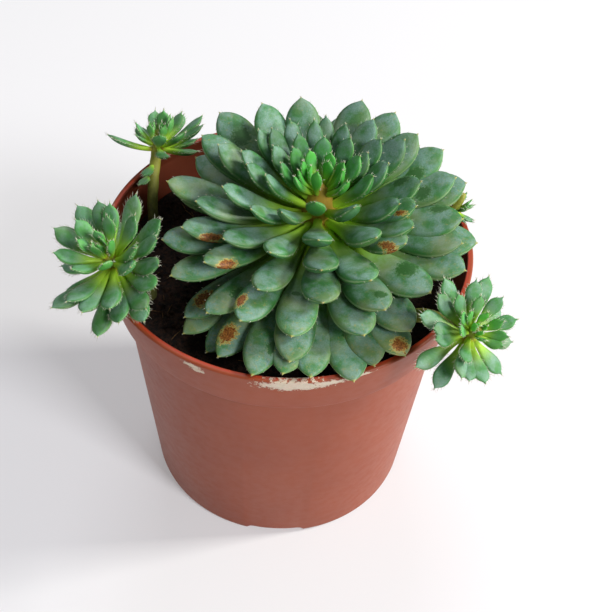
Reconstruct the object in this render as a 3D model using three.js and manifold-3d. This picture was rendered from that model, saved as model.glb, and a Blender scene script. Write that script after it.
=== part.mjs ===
// A rosette succulent with four offsets, in a thin nursery pot filled with soil.
// Millimetres and degrees, +Z up. The origin is the middle of the pot's underside.
import * as THREE from 'three';
import { mergeVertices } from 'three/addons/utils/BufferGeometryUtils.js';
import Module from 'manifold-3d';

const wasm = await Module();
wasm.setup();

// ---------------------------------------------------------------- driving dimensions

const CLEARANCE = 0.3; // between two pieces that touch

const pot = {
  height: 89.4,
  rimRadius: 52.5,
  collarHeight: 14.5, // the wider band below the rim
  collarLowRadius: 49.6,
  shoulderRadius: 47.0, // where the body meets the underside of the collar
  baseRadius: 40.4,
  wall: 1.3,
  lip: 1.9, // thickness at the rim
  lipDepth: 2.5,
  floor: 1.5,
  discRadius: 23, // the middle of the floor, which touches the ground
  footInnerRadius: 36,
  channelHeight: 2, // the floor between disc and foot is raised for drainage
  edgeRound: 1.6,
  sides: 44,
};
const drain = { count: 6, radius: 3.5, ringRadius: 29.5 };
const notch = { count: 4, width: 15, slope: 1.5, height: 1.6 };
const soil = { belowRim: 11, lump: 0.9, rings: 6, sides: 32, fillet: 1.2 };

// The leaves' outline and section, as shares of the leaf's own width and thickness.
const leafForm = {
  widestAt: 0.76,
  petioleEnds: 0.18,
  petioleWidth: 0.31,
  thickestAt: 0.6,
  rootThickness: 0.62,
  upperBulge: 0.42, // the upper face is flatter than the lower one
  thinnest: 0.35,
  stations: [0, 0.38, 0.7, 0.91],
  offsetStations: [0, 0.42, 0.8], // the offsets' small leaves are simpler
  sides: 6,
};

// The big rosette. It leans a little towards the front of the pot.
const rosette = {
  base: new THREE.Vector3(8, -2, pot.height + 8),
  lean: 9.5,
  leanTowards: -90,
  domeRadius: 48,
  domeHeight: 24,
  footRadius: 5.2,
  footDepth: 9, // of the stem in the soil
  heartHeight: 13.5, // where the youngest leaves leave the stem
  lowestRoot: 1.5,
  widestLeaf: 13,
  widthShare: 0.315, // of a leaf's length
  frontGain: [0.1, -0.15], // the leaves in front are wider near the heart, narrower outside
  leftLoss: 0.22, // the leaves on the left are narrower,
  backLoss: 0.34, // and so are the half-grown ones at the back
};

// Its turns of leaves from the heart outwards: how far from the axis the tips reach,
// how high they stand where that isn't on the dome, and each leaf's bearing.
const rosetteTurns = [
  { reach: 2.4, rise: 24.6, bearings: [-118] },
  { reach: 3, rise: 23.2, bearings: [165, 60] },
  { reach: 5.4, rise: 24, bearings: [163, -10] },
  { reach: 6.2, rise: 23.2, bearings: [-172, 68, 24] },
  { reach: 6.8, rise: 23.7, bearings: [121] },
  { reach: 8, bearings: [-153, -35] },
  { reach: 10, rise: 24, bearings: [142] },
  { reach: 10.9, bearings: [175, 88, 25] },
  { reach: 11.3, rise: 23.2, bearings: [-98] },
  { reach: 13.5, bearings: [-8, 57, 27, 120] },
  { reach: 15, bearings: [-168, -56, 151] },
  { reach: 17.8, bearings: [70, 98, -124, 11] },
  { reach: 19.8, bearings: [38, 134, 88, 177, 117] },
  { reach: 22.3, bearings: [-91, -25, 141, -143, 164] },
  { reach: 24.7, bearings: [-55, 56] },
  { reach: 26.3, bearings: [-1, 32, -20, -168] },
  { reach: 28.3, bearings: [-33, -116] },
  { reach: 29.8, bearings: [-43, 102, -89, 160] },
  { reach: 32, bearings: [35, 122, 70, -140] },
  { reach: 33.6, bearings: [-67, 53, -166] },
  { reach: 37, bearings: [9, -114, -88, 153, 25] },
  { reach: 38.6, bearings: [-11, -158, -139] },
  { reach: 40.3, bearings: [-21, -65, 9, 136] },
  { reach: 41.5, bearings: [176, -46] },
  { reach: 43.8, bearings: [-98, -74, -160, -15, -28, -116] },
  { reach: 45.5, bearings: [-128, -58, -147] },
  { reach: 49.2, rise: 2.6, bearings: [-72, -62] },
  { reach: 51, rise: 2.6, bearings: [-91, -99] },
  { reach: 48.5, rise: 4.8, bearings: [-97.5] },
  { reach: 52.5, rise: 2.5, bearings: [-79] },
  { reach: 53.3, rise: 2.3, bearings: [-107] },
  { reach: 50.3, rise: -1.5, bearings: [-119.5] },
  { reach: 49, rise: -5.5, bearings: [-125, -135] },
  { reach: 47, rise: -1.5, bearings: [-137] },
  { reach: 40, rise: 3, bearings: [112, 78, 95, 128] },
  { reach: 41, rise: 2, bearings: [45, 62, 168, 150] },
  { reach: 40, rise: -3, bearings: [-172, 103, 85] },
];

// The offsets: small rosettes on stems of their own, which lean out over the rim. A stem
// runs from its foot in the soil past its bend to its base, where the lowest leaves sit.
const offsets = [
  {
    name: 'offset_left',
    foot: [-38, -14],
    bend: [-38, -14, pot.height + 3],
    base: [-45.5, -20.2, pot.height + 6],
    axis: [-0.29, -0.21, 0.93],
    dome: { radius: 23, height: 14, power: 2.6 },
    rootHeight: 6,
    stemRadius: 2,
    widestLeaf: 5.6,
    widthShare: 0.33, // of a leaf's length
    turns: [
      { reach: 1.2, rise: 12.5, bearings: [40, 190, -70] },
      { reach: 2.2, bearings: [92, -103] },
      { reach: 4.8, bearings: [-22, 178] },
      { reach: 7.3, bearings: [68] },
      { reach: 8.8, bearings: [-68] },
      { reach: 9.9, bearings: [132, -123] },
      { reach: 12, bearings: [-18, 33, -171, 79] },
      { reach: 13.8, bearings: [97, -41] },
      { reach: 16.1, bearings: [-1, 152] },
      { reach: 17.3, bearings: [22, 121, -115] },
      { reach: 18.2, bearings: [65, -24] },
      { reach: 18.9, bearings: [-77, -100] },
      { reach: 20, bearings: [-39, -130] },
      { reach: 21.5, bearings: [-75, -54] },
      { reach: 22.6, rise: 2, bearings: [-93, -60] },
      { reach: 17, rise: -1, bearings: [50, 100, 170, -150] },
    ],
  },
  {
    name: 'offset_right',
    foot: [31, -27],
    bend: [31, -27, pot.height + 7],
    base: [46.5, -40.8, pot.height + 8],
    axis: [0.3, -0.45, 0.84],
    dome: { radius: 17.3, height: 10, power: 2.2 },
    rootHeight: 4,
    stemRadius: 1.9,
    widestLeaf: 4.6,
    widthShare: 0.33, // of a leaf's length
    turns: [
      { reach: 1, rise: 8.5, bearings: [20, 150, -100] },
      { reach: 2.5, bearings: [-175] },
      { reach: 3.5, bearings: [-94, 81] },
      { reach: 5.3, bearings: [141, 20] },
      { reach: 6.9, bearings: [157, -168, -16, -42] },
      { reach: 8, bearings: [97] },
      { reach: 10.5, bearings: [56, 19, -118, 131] },
      { reach: 12.9, bearings: [94, -161, -174] },
      { reach: 13.8, bearings: [-82, -101, -110, 145] },
      { reach: 15.6, bearings: [75, 171, 124] },
      { reach: 17.3, rise: -1, bearings: [-145, -121] },
      { reach: 14, rise: -2, bearings: [0, 40, -40] },
    ],
  },
  {
    name: 'offset_back_left',
    foot: [-40.3, 15.3],
    bend: [-41, 20, pot.height],
    base: [-39.7, 27.8, pot.height + 7],
    axis: [0.03, 0.5, 0.86],
    dome: { radius: 16, height: 11, power: 2 },
    rootHeight: 3,
    stemRadius: 1.6,
    widestLeaf: 4.4,
    widthShare: 0.42, // of a leaf's length
    turns: [
      { reach: 1.2, rise: 8.5, bearings: [-30, 200] },
      { reach: 3, rise: 11.6, bearings: [70] },
      { reach: 3.4, rise: 10.8, bearings: [1] },
      { reach: 3.6, rise: 8.2, bearings: [-50, -130] },
      { reach: 4.4, rise: 10.4, bearings: [-10] },
      { reach: 5.9, rise: 11.2, bearings: [107] },
      { reach: 7, rise: 7.5, bearings: [168] },
      { reach: 7.9, rise: 11.1, bearings: [85] },
      { reach: 6.9, rise: 4.6, bearings: [-154] },
      { reach: 9, rise: 11.1, bearings: [47] },
      { reach: 9.3, rise: 6.5, bearings: [-26] },
      { reach: 9.5, rise: 6, bearings: [-80] },
      { reach: 12.3, rise: 10, bearings: [58] },
      { reach: 13.4, rise: 8.2, bearings: [14] },
      { reach: 14.8, rise: 10.3, bearings: [34] },
      { reach: 12.8, rise: 3.5, bearings: [28] },
      { reach: 12.3, rise: 0.5, bearings: [4] },
      { reach: 14.6, rise: 4, bearings: [-168] },
      { reach: 12.5, rise: 5.5, bearings: [92, 125] },
      { reach: 9.5, rise: -0.7, bearings: [-69] },
      { reach: 8, rise: -6.7, bearings: [-111] },
      { reach: 7.2, rise: -9.8, bearings: [-128] },
    ],
  },
  {
    name: 'offset_back_right',
    foot: [38, 15],
    bend: [40, 14, pot.height],
    base: [47, 10.6, pot.height + 4],
    axis: [0.45, 0.25, 0.86],
    dome: { radius: 8, height: 6, power: 2 },
    rootHeight: 2,
    stemRadius: 1.4,
    widestLeaf: 3.8,
    widthShare: 0.33, // of a leaf's length
    turns: [
      { reach: 2, rise: 6.2, bearings: [61, 200] },
      { reach: 2.6, rise: 5.9, bearings: [-23] },
      { reach: 3.8, rise: 5.1, bearings: [-43, 130] },
      { reach: 5.1, rise: 4.2, bearings: [-75, 15, 95] },
      { reach: 7, rise: 1.2, bearings: [-36, 50] },
      { reach: 6.8, rise: 0.6, bearings: [-63, -5] },
    ],
  },
];
const offsetStem = { footDepth: 6, sides: 8, bendSteps: 5 };
const offsetLeafShape = { thicknessShare: 0.45, thinnest: 1, curl: 0.05 };

// ---------------------------------------------------------------- solids

const radians = THREE.MathUtils.degToRad;

// A manifold solid from a closed geometry: only positions are kept, shared vertices merged.
function solidOf(geometry) {
  const bare = geometry.index ? geometry.clone() : geometry;
  bare.deleteAttribute('normal');
  bare.deleteAttribute('uv');
  const merged = mergeVertices(bare, 1e-4);
  return new wasm.Manifold(new wasm.Mesh({
    numProp: 3,
    vertProperties: new Float32Array(merged.attributes.position.array),
    triVerts: new Uint32Array(merged.index.array),
  }));
}

// Fused leaves can seal a pocket or leave a crumb: only the one big body is kept.
function mainBody(solid) {
  const bodies = solid.decompose();
  return bodies.reduce((best, body) => (body.volume() > best.volume() ? body : best));
}

function geometryOf(solid) {
  const mesh = solid.getMesh();
  const geometry = new THREE.BufferGeometry();
  geometry.setAttribute('position', new THREE.BufferAttribute(mesh.vertProperties.slice(), 3));
  geometry.setIndex(new THREE.BufferAttribute(mesh.triVerts.slice(), 1));
  geometry.computeVertexNormals();
  return geometry;
}

function piece(name, solid, look) {
  const material = new THREE.MeshStandardMaterial({ metalness: 0, ...look });
  const mesh = new THREE.Mesh(geometryOf(solid), material);
  mesh.name = name;
  return mesh;
}

// A closed skin over rings of points, each ring counter-clockwise seen from the last one.
// It ends in a point beyond the last ring, or flat if none is given.
function skin(rings, endPoint = centreOf(rings.at(-1))) {
  const sides = rings[0].length;
  const points = rings.flat();
  const start = points.push(centreOf(rings[0])) - 1;
  const end = points.push(endPoint) - 1;
  const faces = [];
  for (let side = 0; side < sides; side += 1) {
    const next = (side + 1) % sides;
    faces.push(start, next, side);
    for (let ring = 1; ring < rings.length; ring += 1) {
      const low = (ring - 1) * sides;
      const high = ring * sides;
      faces.push(low + side, low + next, high + next);
      faces.push(low + side, high + next, high + side);
    }
    const last = (rings.length - 1) * sides;
    faces.push(last + side, last + next, end);
  }
  const geometry = new THREE.BufferGeometry().setFromPoints(points);
  geometry.setIndex(faces);
  return geometry;
}

function centreOf(ring) {
  const sum = ring.reduce((total, point) => total.add(point), new THREE.Vector3());
  return sum.divideScalar(ring.length);
}

// Revolves an outline of [radius, height] pairs about the vertical axis.
function revolve(outline, sides) {
  const points = outline.map(([radius, height]) => new THREE.Vector2(radius, height));
  return new THREE.LatheGeometry(points, sides).rotateX(Math.PI / 2);
}

// ---------------------------------------------------------------- pot and soil

// The pot's inner surface from the rim down to the axis, moved inwards by a clearance.
function innerOutline(clearance, top) {
  const shoulder = pot.height - pot.collarHeight;
  const wall = pot.wall + clearance;
  const raised = pot.channelHeight + pot.floor + clearance;
  return [
    ...top,
    [pot.collarLowRadius - wall, shoulder + 2],
    [pot.shoulderRadius - wall, shoulder - 0.5],
    [pot.baseRadius - wall, raised + pot.edgeRound],
    [pot.baseRadius - wall - pot.edgeRound, raised],
    [pot.discRadius + 2, raised],
    [pot.discRadius, pot.floor + clearance],
    [0, pot.floor + clearance],
  ];
}

function potSolid() {
  const shoulder = pot.height - pot.collarHeight;
  const rim = [
    [pot.rimRadius, pot.height - 0.7],
    [pot.rimRadius - 0.6, pot.height],
    [pot.rimRadius - pot.lip + 0.4, pot.height],
    [pot.rimRadius - pot.lip, pot.height - 0.5],
    [pot.rimRadius - pot.lip, pot.height - pot.lipDepth],
    [pot.rimRadius - pot.wall - 0.9, pot.height - pot.lipDepth - 1],
  ];
  const outline = [
    [0, 0],
    [pot.discRadius, 0],
    [pot.discRadius + 1.5, pot.channelHeight],
    [pot.footInnerRadius - 1, pot.channelHeight],
    [pot.footInnerRadius, 0],
    [pot.baseRadius - pot.edgeRound, 0],
    [pot.baseRadius - 0.4, 0.6],
    [pot.baseRadius, pot.edgeRound],
    [pot.shoulderRadius, shoulder - 0.4],
    [pot.collarLowRadius - 0.4, shoulder],
    [pot.collarLowRadius, shoulder + 0.5],
    ...innerOutline(0, rim),
  ];
  let solid = solidOf(revolve(outline, pot.sides));
  for (let index = 0; index < drain.count; index += 1) {
    solid = solid.subtract(drainHole(radians(360 * (index + 0.5) / drain.count)));
  }
  for (let index = 0; index < notch.count; index += 1) {
    solid = solid.subtract(footNotch(radians(360 * index / notch.count)));
  }
  return solid;
}

function drainHole(bearing) {
  const hole = new THREE.CylinderGeometry(drain.radius, drain.radius, 4 * pot.floor, 12);
  hole.rotateX(Math.PI / 2);
  hole.translate(drain.ringRadius, 0, pot.channelHeight + pot.floor / 2);
  return solidOf(hole.rotateZ(bearing));
}

// A shallow gap in the foot ring with sloping ends, which lets water run out.
function footNotch(bearing) {
  const half = notch.width / 2;
  const section = new THREE.Shape([
    new THREE.Vector2(-half - notch.slope, -1),
    new THREE.Vector2(half + notch.slope, -1),
    new THREE.Vector2(half, notch.height),
    new THREE.Vector2(-half, notch.height),
  ]);
  const depth = pot.baseRadius - pot.footInnerRadius + 4;
  const bar = new THREE.ExtrudeGeometry(section, { depth, bevelEnabled: false });
  bar.rotateX(Math.PI / 2);
  bar.translate(0, pot.baseRadius + 2, 0);
  return solidOf(bar.rotateZ(bearing));
}

// Small rises and dips of the soil: a few waves that cross each other.
function soilLump(x, y) {
  const broad = Math.sin(0.17 * x + 0.6) * Math.cos(0.21 * y - 0.4);
  const fine = Math.sin(0.53 * x - 0.35 * y) * Math.cos(0.41 * x + 0.47 * y + 1);
  return soil.lump * (0.6 * broad + 0.4 * fine);
}

function soilSolid(stems) {
  const level = pot.height - soil.belowRim;
  const wall = pot.rimRadius - pot.wall - 0.9 - CLEARANCE;
  const atLevel = wall - (pot.rimRadius - pot.collarLowRadius) * soil.belowRim / pot.collarHeight;
  const top = [];
  for (let ring = 0; ring < soil.rings; ring += 1) {
    top.push([(atLevel - soil.fillet) * ring / (soil.rings - 1), level]);
  }
  top.push([atLevel, level - soil.fillet]);
  const outline = innerOutline(CLEARANCE, top);
  const ground = revolve(outline.reverse(), soil.sides);
  const place = ground.attributes.position;
  for (let index = 0; index < place.count; index += 1) {
    if (place.getZ(index) > level - 0.1) {
      place.setZ(index, level + soilLump(place.getX(index), place.getY(index)));
    }
  }
  return stems.reduce((body, stem) => body.subtract(stemHole(stem, level)), solidOf(ground));
}

function stemHole({ foot, radius, depth }, level) {
  const height = depth + 2 * CLEARANCE + 4;
  const hole = new THREE.CylinderGeometry(radius + CLEARANCE, radius + CLEARANCE, height, 12);
  hole.rotateX(Math.PI / 2);
  hole.translate(foot[0], foot[1], level - depth - CLEARANCE + height / 2);
  return solidOf(hole);
}

// ---------------------------------------------------------------- leaves and stems

// Width along a leaf from root (0) to tip (1): a narrow petiole, a broad end, a short point.
function widthShare(along) {
  const { widestAt, petioleEnds, petioleWidth } = leafForm;
  if (along < widestAt) {
    const rise = THREE.MathUtils.smoothstep(along, petioleEnds, widestAt);
    return petioleWidth + (1 - petioleWidth) * rise;
  }
  return (1 - ((along - widestAt) / (1 - widestAt)) ** 2.2) ** 0.66;
}

function thicknessShare(along) {
  const { thickestAt, rootThickness } = leafForm;
  if (along < thickestAt) {
    return rootThickness + (1 - rootThickness) * Math.sin(Math.PI * along / thickestAt / 2);
  }
  return (1 - ((along - thickestAt) / (1 - thickestAt)) ** 2.6) ** 0.6;
}

// One leaf from its root inside the stem to its tip. Its upper face looks towards `up`, and
// the blade bends up by `curl` of its length.
function leafSolid({ root, tip, up, width, thickness, curl }, stations = leafForm.stations) {
  const reach = tip.clone().sub(root);
  const length = reach.length();
  const forward = reach.clone().divideScalar(length);
  const side = up.clone().cross(forward).normalize();
  const normal = forward.clone().cross(side);
  const rings = stations.map((along) => {
    const sag = curl * length * 4 * along * (1 - along);
    const centre = root.clone().addScaledVector(forward, length * along).addScaledVector(normal, -sag);
    const half = Math.max(width * widthShare(along) / 2, leafForm.thinnest);
    const thick = Math.max(thickness * thicknessShare(along), 2 * leafForm.thinnest);
    return leafRing(centre, side, normal, half, thick);
  });
  return solidOf(skin(rings, tip));
}

function leafRing(centre, side, normal, half, thick) {
  const ring = [];
  for (let corner = 0; corner < leafForm.sides; corner += 1) {
    const turn = 2 * Math.PI * corner / leafForm.sides;
    const bulge = Math.sin(turn) > 0 ? leafForm.upperBulge : 1 - leafForm.upperBulge;
    ring.push(centre.clone()
      .addScaledVector(side, half * Math.cos(turn))
      .addScaledVector(normal, thick * bulge * Math.sin(turn)));
  }
  return ring;
}

// A round stem through stations of { at, radius }. Its rings lie square to the way it runs.
function stemSolid(stations, sides = 10) {
  const rings = stations.map(({ at, radius }, index) => {
    const before = stations[Math.max(index - 1, 0)].at;
    const after = stations[Math.min(index + 1, stations.length - 1)].at;
    const along = after.clone().sub(before).normalize();
    const across = new THREE.Vector3(1, 0, 0).addScaledVector(along, -along.x).normalize();
    const over = along.clone().cross(across);
    return Array.from({ length: sides }, (_, corner) => {
      const turn = 2 * Math.PI * corner / sides;
      return at.clone()
        .addScaledVector(across, radius * Math.cos(turn))
        .addScaledVector(over, radius * Math.sin(turn));
    });
  });
  return solidOf(skin(rings));
}

// Axes of a rosette: z along its stem, x and y spanning the plane that bearings turn in.
function frameOf(base, axis) {
  const z = axis.clone().normalize();
  const x = new THREE.Vector3(1, 0, 0).addScaledVector(z, -z.x).normalize();
  const y = z.clone().cross(x);
  const point = (bearing, radius, height) => base.clone()
    .addScaledVector(x, radius * Math.cos(radians(bearing)))
    .addScaledVector(y, radius * Math.sin(radians(bearing)))
    .addScaledVector(z, height);
  return { z, point };
}

// The way a leaf's upper face looks: up the stem, or inwards if the leaf stands on end.
function upperSide(root, tip, frame, inward) {
  const forward = tip.clone().sub(root).normalize();
  const guide = forward.dot(frame.z) > 0.93 ? inward : frame.z;
  return guide.clone().addScaledVector(forward, -forward.dot(guide)).normalize();
}

// ---------------------------------------------------------------- the big rosette

function domeRise(reach) {
  const share = Math.min(reach / rosette.domeRadius, 1);
  return rosette.domeHeight * (1 - share ** 2.5) ** 0.6;
}

// How much wider or narrower a leaf is than its length alone would make it.
function rosetteWidthGain(reach, bearing, outward) {
  const { lerp, smoothstep } = THREE.MathUtils;
  const front = Math.max(0, -Math.sin(radians(bearing)));
  const back = Math.max(0, Math.sin(radians(bearing)));
  const left = Math.min(1, 1.6 * Math.max(0, -Math.cos(radians(bearing)))) * (1 - back);
  const halfGrown = smoothstep(reach, 8, 17) * (1 - smoothstep(reach, 21, 30));
  return (1 + front * lerp(...rosette.frontGain, outward))
    * (1 - rosette.leftLoss * left)
    * (1 - rosette.backLoss * halfGrown * back ** 2);
}

function rosetteLeaf(frame, turn, bearing) {
  const outward = Math.min(turn.reach / rosette.domeRadius, 1);
  const rise = turn.rise ?? domeRise(turn.reach);
  const lying = rise < 5 && turn.reach < 45;
  const drop = Math.max(0, (turn.reach - 8) / 40) ** 0.4 * (rosette.heartHeight - rosette.lowestRoot);
  const rootHeight = lying ? rosette.lowestRoot : rosette.heartHeight - drop;
  const root = frame.point(bearing, 1 + 3.2 * outward, rootHeight);
  const tip = frame.point(bearing, turn.reach, rise);
  const length = tip.distanceTo(root);
  const gain = rosetteWidthGain(turn.reach, bearing, outward);
  const width = gain * Math.min(rosette.widthShare * length, rosette.widestLeaf);
  const inward = frame.point(bearing + 180, 1, 0).sub(frame.point(0, 0, 0));
  return {
    root,
    tip,
    up: upperSide(root, tip, frame, inward),
    width,
    thickness: THREE.MathUtils.lerp(0.6, 0.4, outward) * width,
    curl: 0.04 + 0.05 * (1 - outward),
  };
}

function rosetteSolid() {
  const lean = radians(rosette.lean);
  const towards = radians(rosette.leanTowards);
  const axis = new THREE.Vector3(
    Math.sin(lean) * Math.cos(towards),
    Math.sin(lean) * Math.sin(towards),
    Math.cos(lean),
  );
  const frame = frameOf(rosette.base, axis);
  const level = pot.height - soil.belowRim;
  const foot = rosetteFoot();
  const stem = [
    { at: new THREE.Vector3(...foot, level - rosette.footDepth), radius: rosette.footRadius },
    { at: new THREE.Vector3(...foot, level + 4), radius: rosette.footRadius },
    { at: frame.point(0, 0, 0), radius: 5.4 },
    { at: frame.point(0, 0, 6), radius: 4.8 },
    { at: frame.point(0, 0, 11), radius: 3.4 },
    { at: frame.point(0, 0, 14.5), radius: 1.9 },
    { at: frame.point(0, 0, 16.5), radius: 0.8 },
  ];
  const leaves = rosetteTurns.flatMap((turn) => (
    turn.bearings.map((bearing) => leafSolid(rosetteLeaf(frame, turn, bearing)))
  ));
  return mainBody(leaves.reduce((body, leaf) => body.add(leaf), stemSolid(stem, 12)));
}

// Where the leaning stem meets the soil.
function rosetteFoot() {
  const drop = rosette.base.z - (pot.height - soil.belowRim);
  const slide = drop * Math.tan(radians(rosette.lean));
  const towards = radians(rosette.leanTowards);
  return [
    rosette.base.x - slide * Math.cos(towards),
    rosette.base.y - slide * Math.sin(towards),
  ];
}

// ---------------------------------------------------------------- the offsets

// One leaf of an offset. A leaf that hangs below the base sits lower down on the stem.
function offsetLeaf({ dome, rootHeight, widestLeaf, widthShare: share }, frame, turn, bearing) {
  const outward = Math.min(turn.reach / dome.radius, 1);
  const rise = turn.rise ?? dome.height * (1 - outward ** dome.power) ** 0.6;
  const lowered = Math.min(rise + 2, 0);
  const root = frame.point(bearing, 0.8, rootHeight * (1 - outward) + lowered);
  const tip = frame.point(bearing, turn.reach, rise);
  const inward = frame.point(bearing + 180, 1, 0).sub(frame.point(0, 0, 0));
  const width = Math.min(share * tip.distanceTo(root), widestLeaf);
  return {
    root,
    tip,
    up: upperSide(root, tip, frame, inward),
    width,
    thickness: Math.max(offsetLeafShape.thicknessShare * width, offsetLeafShape.thinnest),
    curl: offsetLeafShape.curl,
  };
}

function offsetSolid(offset) {
  const base = new THREE.Vector3(...offset.base);
  const frame = frameOf(base, new THREE.Vector3(...offset.axis));
  const level = pot.height - soil.belowRim;
  const foot = new THREE.Vector3(...offset.foot, level + 2);
  const bend = new THREE.Vector3(...offset.bend);
  const rise = new THREE.QuadraticBezierCurve3(foot, bend, base);
  const stem = [
    { at: foot.clone().setZ(level - offsetStem.footDepth), radius: offset.stemRadius },
    ...rise.getPoints(offsetStem.bendSteps).map((at) => ({ at, radius: offset.stemRadius })),
    { at: frame.point(0, 0, 4), radius: 0.8 * offset.stemRadius },
    { at: frame.point(0, 0, 6), radius: 0.4 * offset.stemRadius },
  ];
  const leaves = offset.turns.flatMap((turn) => turn.bearings.map((bearing) => (
    leafSolid(offsetLeaf(offset, frame, turn, bearing), leafForm.offsetStations)
  )));
  const whole = leaves.reduce((body, leaf) => body.add(leaf), stemSolid(stem, offsetStem.sides));
  return mainBody(whole);
}

// ---------------------------------------------------------------- the plant in its pot

const stems = [
  { foot: rosetteFoot(), radius: rosette.footRadius, depth: rosette.footDepth },
  ...offsets.map(({ foot, stemRadius }) => ({ foot, radius: stemRadius, depth: offsetStem.footDepth })),
];

const plant = new THREE.Group();
plant.add(piece('pot', potSolid(), { color: '#b0604a', roughness: 0.5 }));
plant.add(piece('soil', soilSolid(stems), { color: '#2a1a12', roughness: 1 }));
plant.add(piece('rosette', rosetteSolid(), { color: '#5d8f78', roughness: 0.6 }));
for (const offset of offsets) {
  plant.add(piece(offset.name, offsetSolid(offset), { color: '#5f9c6b', roughness: 0.6 }));
}

export default plant;
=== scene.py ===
# %% [markdown]
# # A rosette succulent in its nursery pot
#
# The object is a thick-leaved rosette plant with four young rosettes, called offsets, round
# it. It grows in dark potting soil, in the thin brown-red plastic pot that it was sold in.
#
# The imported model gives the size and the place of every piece. This script builds a finer
# piece for each of them at the same place, then gives each one the finish of the real
# material. Lengths are written in millimetres, because leaves are measured that way, and
# one function turns them into Blender's metres.

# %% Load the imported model
import math

import bmesh
import bpy
import numpy as np
from mathutils import Matrix, Vector, noise


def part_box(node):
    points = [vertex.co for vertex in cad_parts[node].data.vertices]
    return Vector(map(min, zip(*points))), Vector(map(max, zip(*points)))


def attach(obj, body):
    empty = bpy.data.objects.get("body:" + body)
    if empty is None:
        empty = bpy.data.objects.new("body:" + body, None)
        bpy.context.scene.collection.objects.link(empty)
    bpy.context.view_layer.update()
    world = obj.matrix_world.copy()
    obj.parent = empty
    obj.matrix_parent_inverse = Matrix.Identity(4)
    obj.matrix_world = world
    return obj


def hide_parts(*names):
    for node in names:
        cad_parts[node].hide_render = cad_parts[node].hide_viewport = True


MM = 0.001
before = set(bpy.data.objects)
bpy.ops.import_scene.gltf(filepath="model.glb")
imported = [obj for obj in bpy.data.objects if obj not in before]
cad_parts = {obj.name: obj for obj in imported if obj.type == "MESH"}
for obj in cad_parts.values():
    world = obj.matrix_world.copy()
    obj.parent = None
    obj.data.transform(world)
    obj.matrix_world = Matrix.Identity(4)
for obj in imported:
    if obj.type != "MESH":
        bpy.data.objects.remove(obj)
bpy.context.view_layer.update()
pot_top = np.array(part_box("pot")[1]) / MM
RIM_RADIUS = float(pot_top[0])
POT_HEIGHT = float(pot_top[2])
SOIL_BELOW_RIM = 11
SOIL_LEVEL = POT_HEIGHT - SOIL_BELOW_RIM
print(f"pot {2 * RIM_RADIUS:.1f} mm across and {POT_HEIGHT:.1f} mm high")

# %% [markdown]
# ## The camera
#
# A camera is placed by where it stands, where it looks and how far it is rolled. The round
# rim and the round foot of the pot are seen as two ellipses, and from their width, height
# and tilt all of these can be worked out once the pot's real size is known. The camera
# stands 31 cm from the middle of the rim and looks down by 47 degrees. Its lens and sensor
# are in millimetres, its place is in metres, and its turns are in degrees. Depth of field
# stays off, so that every leaf is sharp.

# %% Camera
LENS = 64.7
SENSOR = 36
CAMERA_PLACE = (0, -0.2269, 0.3026)
CAMERA_PITCH = 46.68
CAMERA_YAW = 1.59
CAMERA_ROLL = 3.71

camera_data = bpy.data.cameras.new("camera")
camera_data.lens = LENS
camera_data.sensor_width = SENSOR
camera_data.dof.use_dof = False
camera_data.clip_start = 0.01
camera = bpy.data.objects.new("camera", camera_data)
bpy.context.scene.collection.objects.link(camera)
yaw = Matrix.Rotation(math.radians(-CAMERA_YAW), 4, "Z")
pitch = Matrix.Rotation(math.radians(90 - CAMERA_PITCH), 4, "X")
roll = Matrix.Rotation(math.radians(CAMERA_ROLL), 4, "Z")
camera.matrix_world = Matrix.Translation(CAMERA_PLACE) @ yaw @ pitch @ roll
bpy.context.scene.camera = camera
print("camera looks along", [round(-x, 3) for x in camera.matrix_world.col[2].to_3d()])

# %% [markdown]
# ## Helpers for materials
#
# Colours are written as the hex values that a picture editor shows. Blender's shaders work
# with linear light, so one function turns such a value into linear numbers. A second
# function adds a node, sets its values and links its inputs in one call. An input's value
# may be another node, which then feeds it. That keeps a material readable as a list of
# what is mixed with what.

# %% Colour and node helpers
def colour(hex_value):
    """A linear RGBA colour from an sRGB hex value such as '#8aa89a'."""
    channels = [int(hex_value[i:i + 2], 16) / 255 for i in (1, 3, 5)]
    linear = [c / 12.92 if c <= 0.04045 else ((c + 0.055) / 1.055) ** 2.4 for c in channels]
    return (*linear, 1.0)


def new_material(name):
    """A material with no nodes yet."""
    material = bpy.data.materials.new(name)
    material.use_nodes = True
    material.node_tree.nodes.clear()
    return material


def add(material, kind, inputs=None, **settings):
    """Adds a node. Inputs are named or numbered, and each takes a value, a node or a socket."""
    node = material.node_tree.nodes.new(kind)
    for setting, value in settings.items():
        setattr(node, setting, value)
    for name, value in (inputs or {}).items():
        if isinstance(name, int):
            socket = node.inputs[name]
        else:
            socket = next(s for s in node.inputs if s.enabled and s.name == name)
        if isinstance(value, bpy.types.Node):
            value = next(s for s in value.outputs if s.enabled)
        if isinstance(value, bpy.types.NodeSocket):
            material.node_tree.links.new(value, socket)
        else:
            socket.default_value = value
    return node


print("colour('#808080') is", round(colour("#808080")[0], 3))

# %% [markdown]
# ## Helpers for meshes
#
# Every piece here is a skin over rings of points: a leaf from its root to its tip, a stem
# from soil to heart, a hair from base to end. One function joins rings into faces, and
# another turns the points into a Blender mesh. What a material has to know about a point,
# such as how far along its leaf it lies, is stored on the mesh as a named attribute. The
# material reads it there, so the colours stay on the leaf however it is turned.

# %% Mesh helpers
def ring_faces(rings, sides, start):
    """Faces that join `rings` rings of `sides` points, closed by a point at each end.

    The points come in the order root point, rings, tip point, from index `start` on.
    """
    faces = []
    first = start + 1
    tip = first + rings * sides
    for side in range(sides):
        following = (side + 1) % sides
        faces.append((start, first + following, first + side))
        for ring in range(rings - 1):
            low = first + ring * sides
            high = low + sides
            faces.append((low + side, low + following, high + following, high + side))
        last = first + (rings - 1) * sides
        faces.append((last + side, last + following, tip))
    return faces


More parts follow.
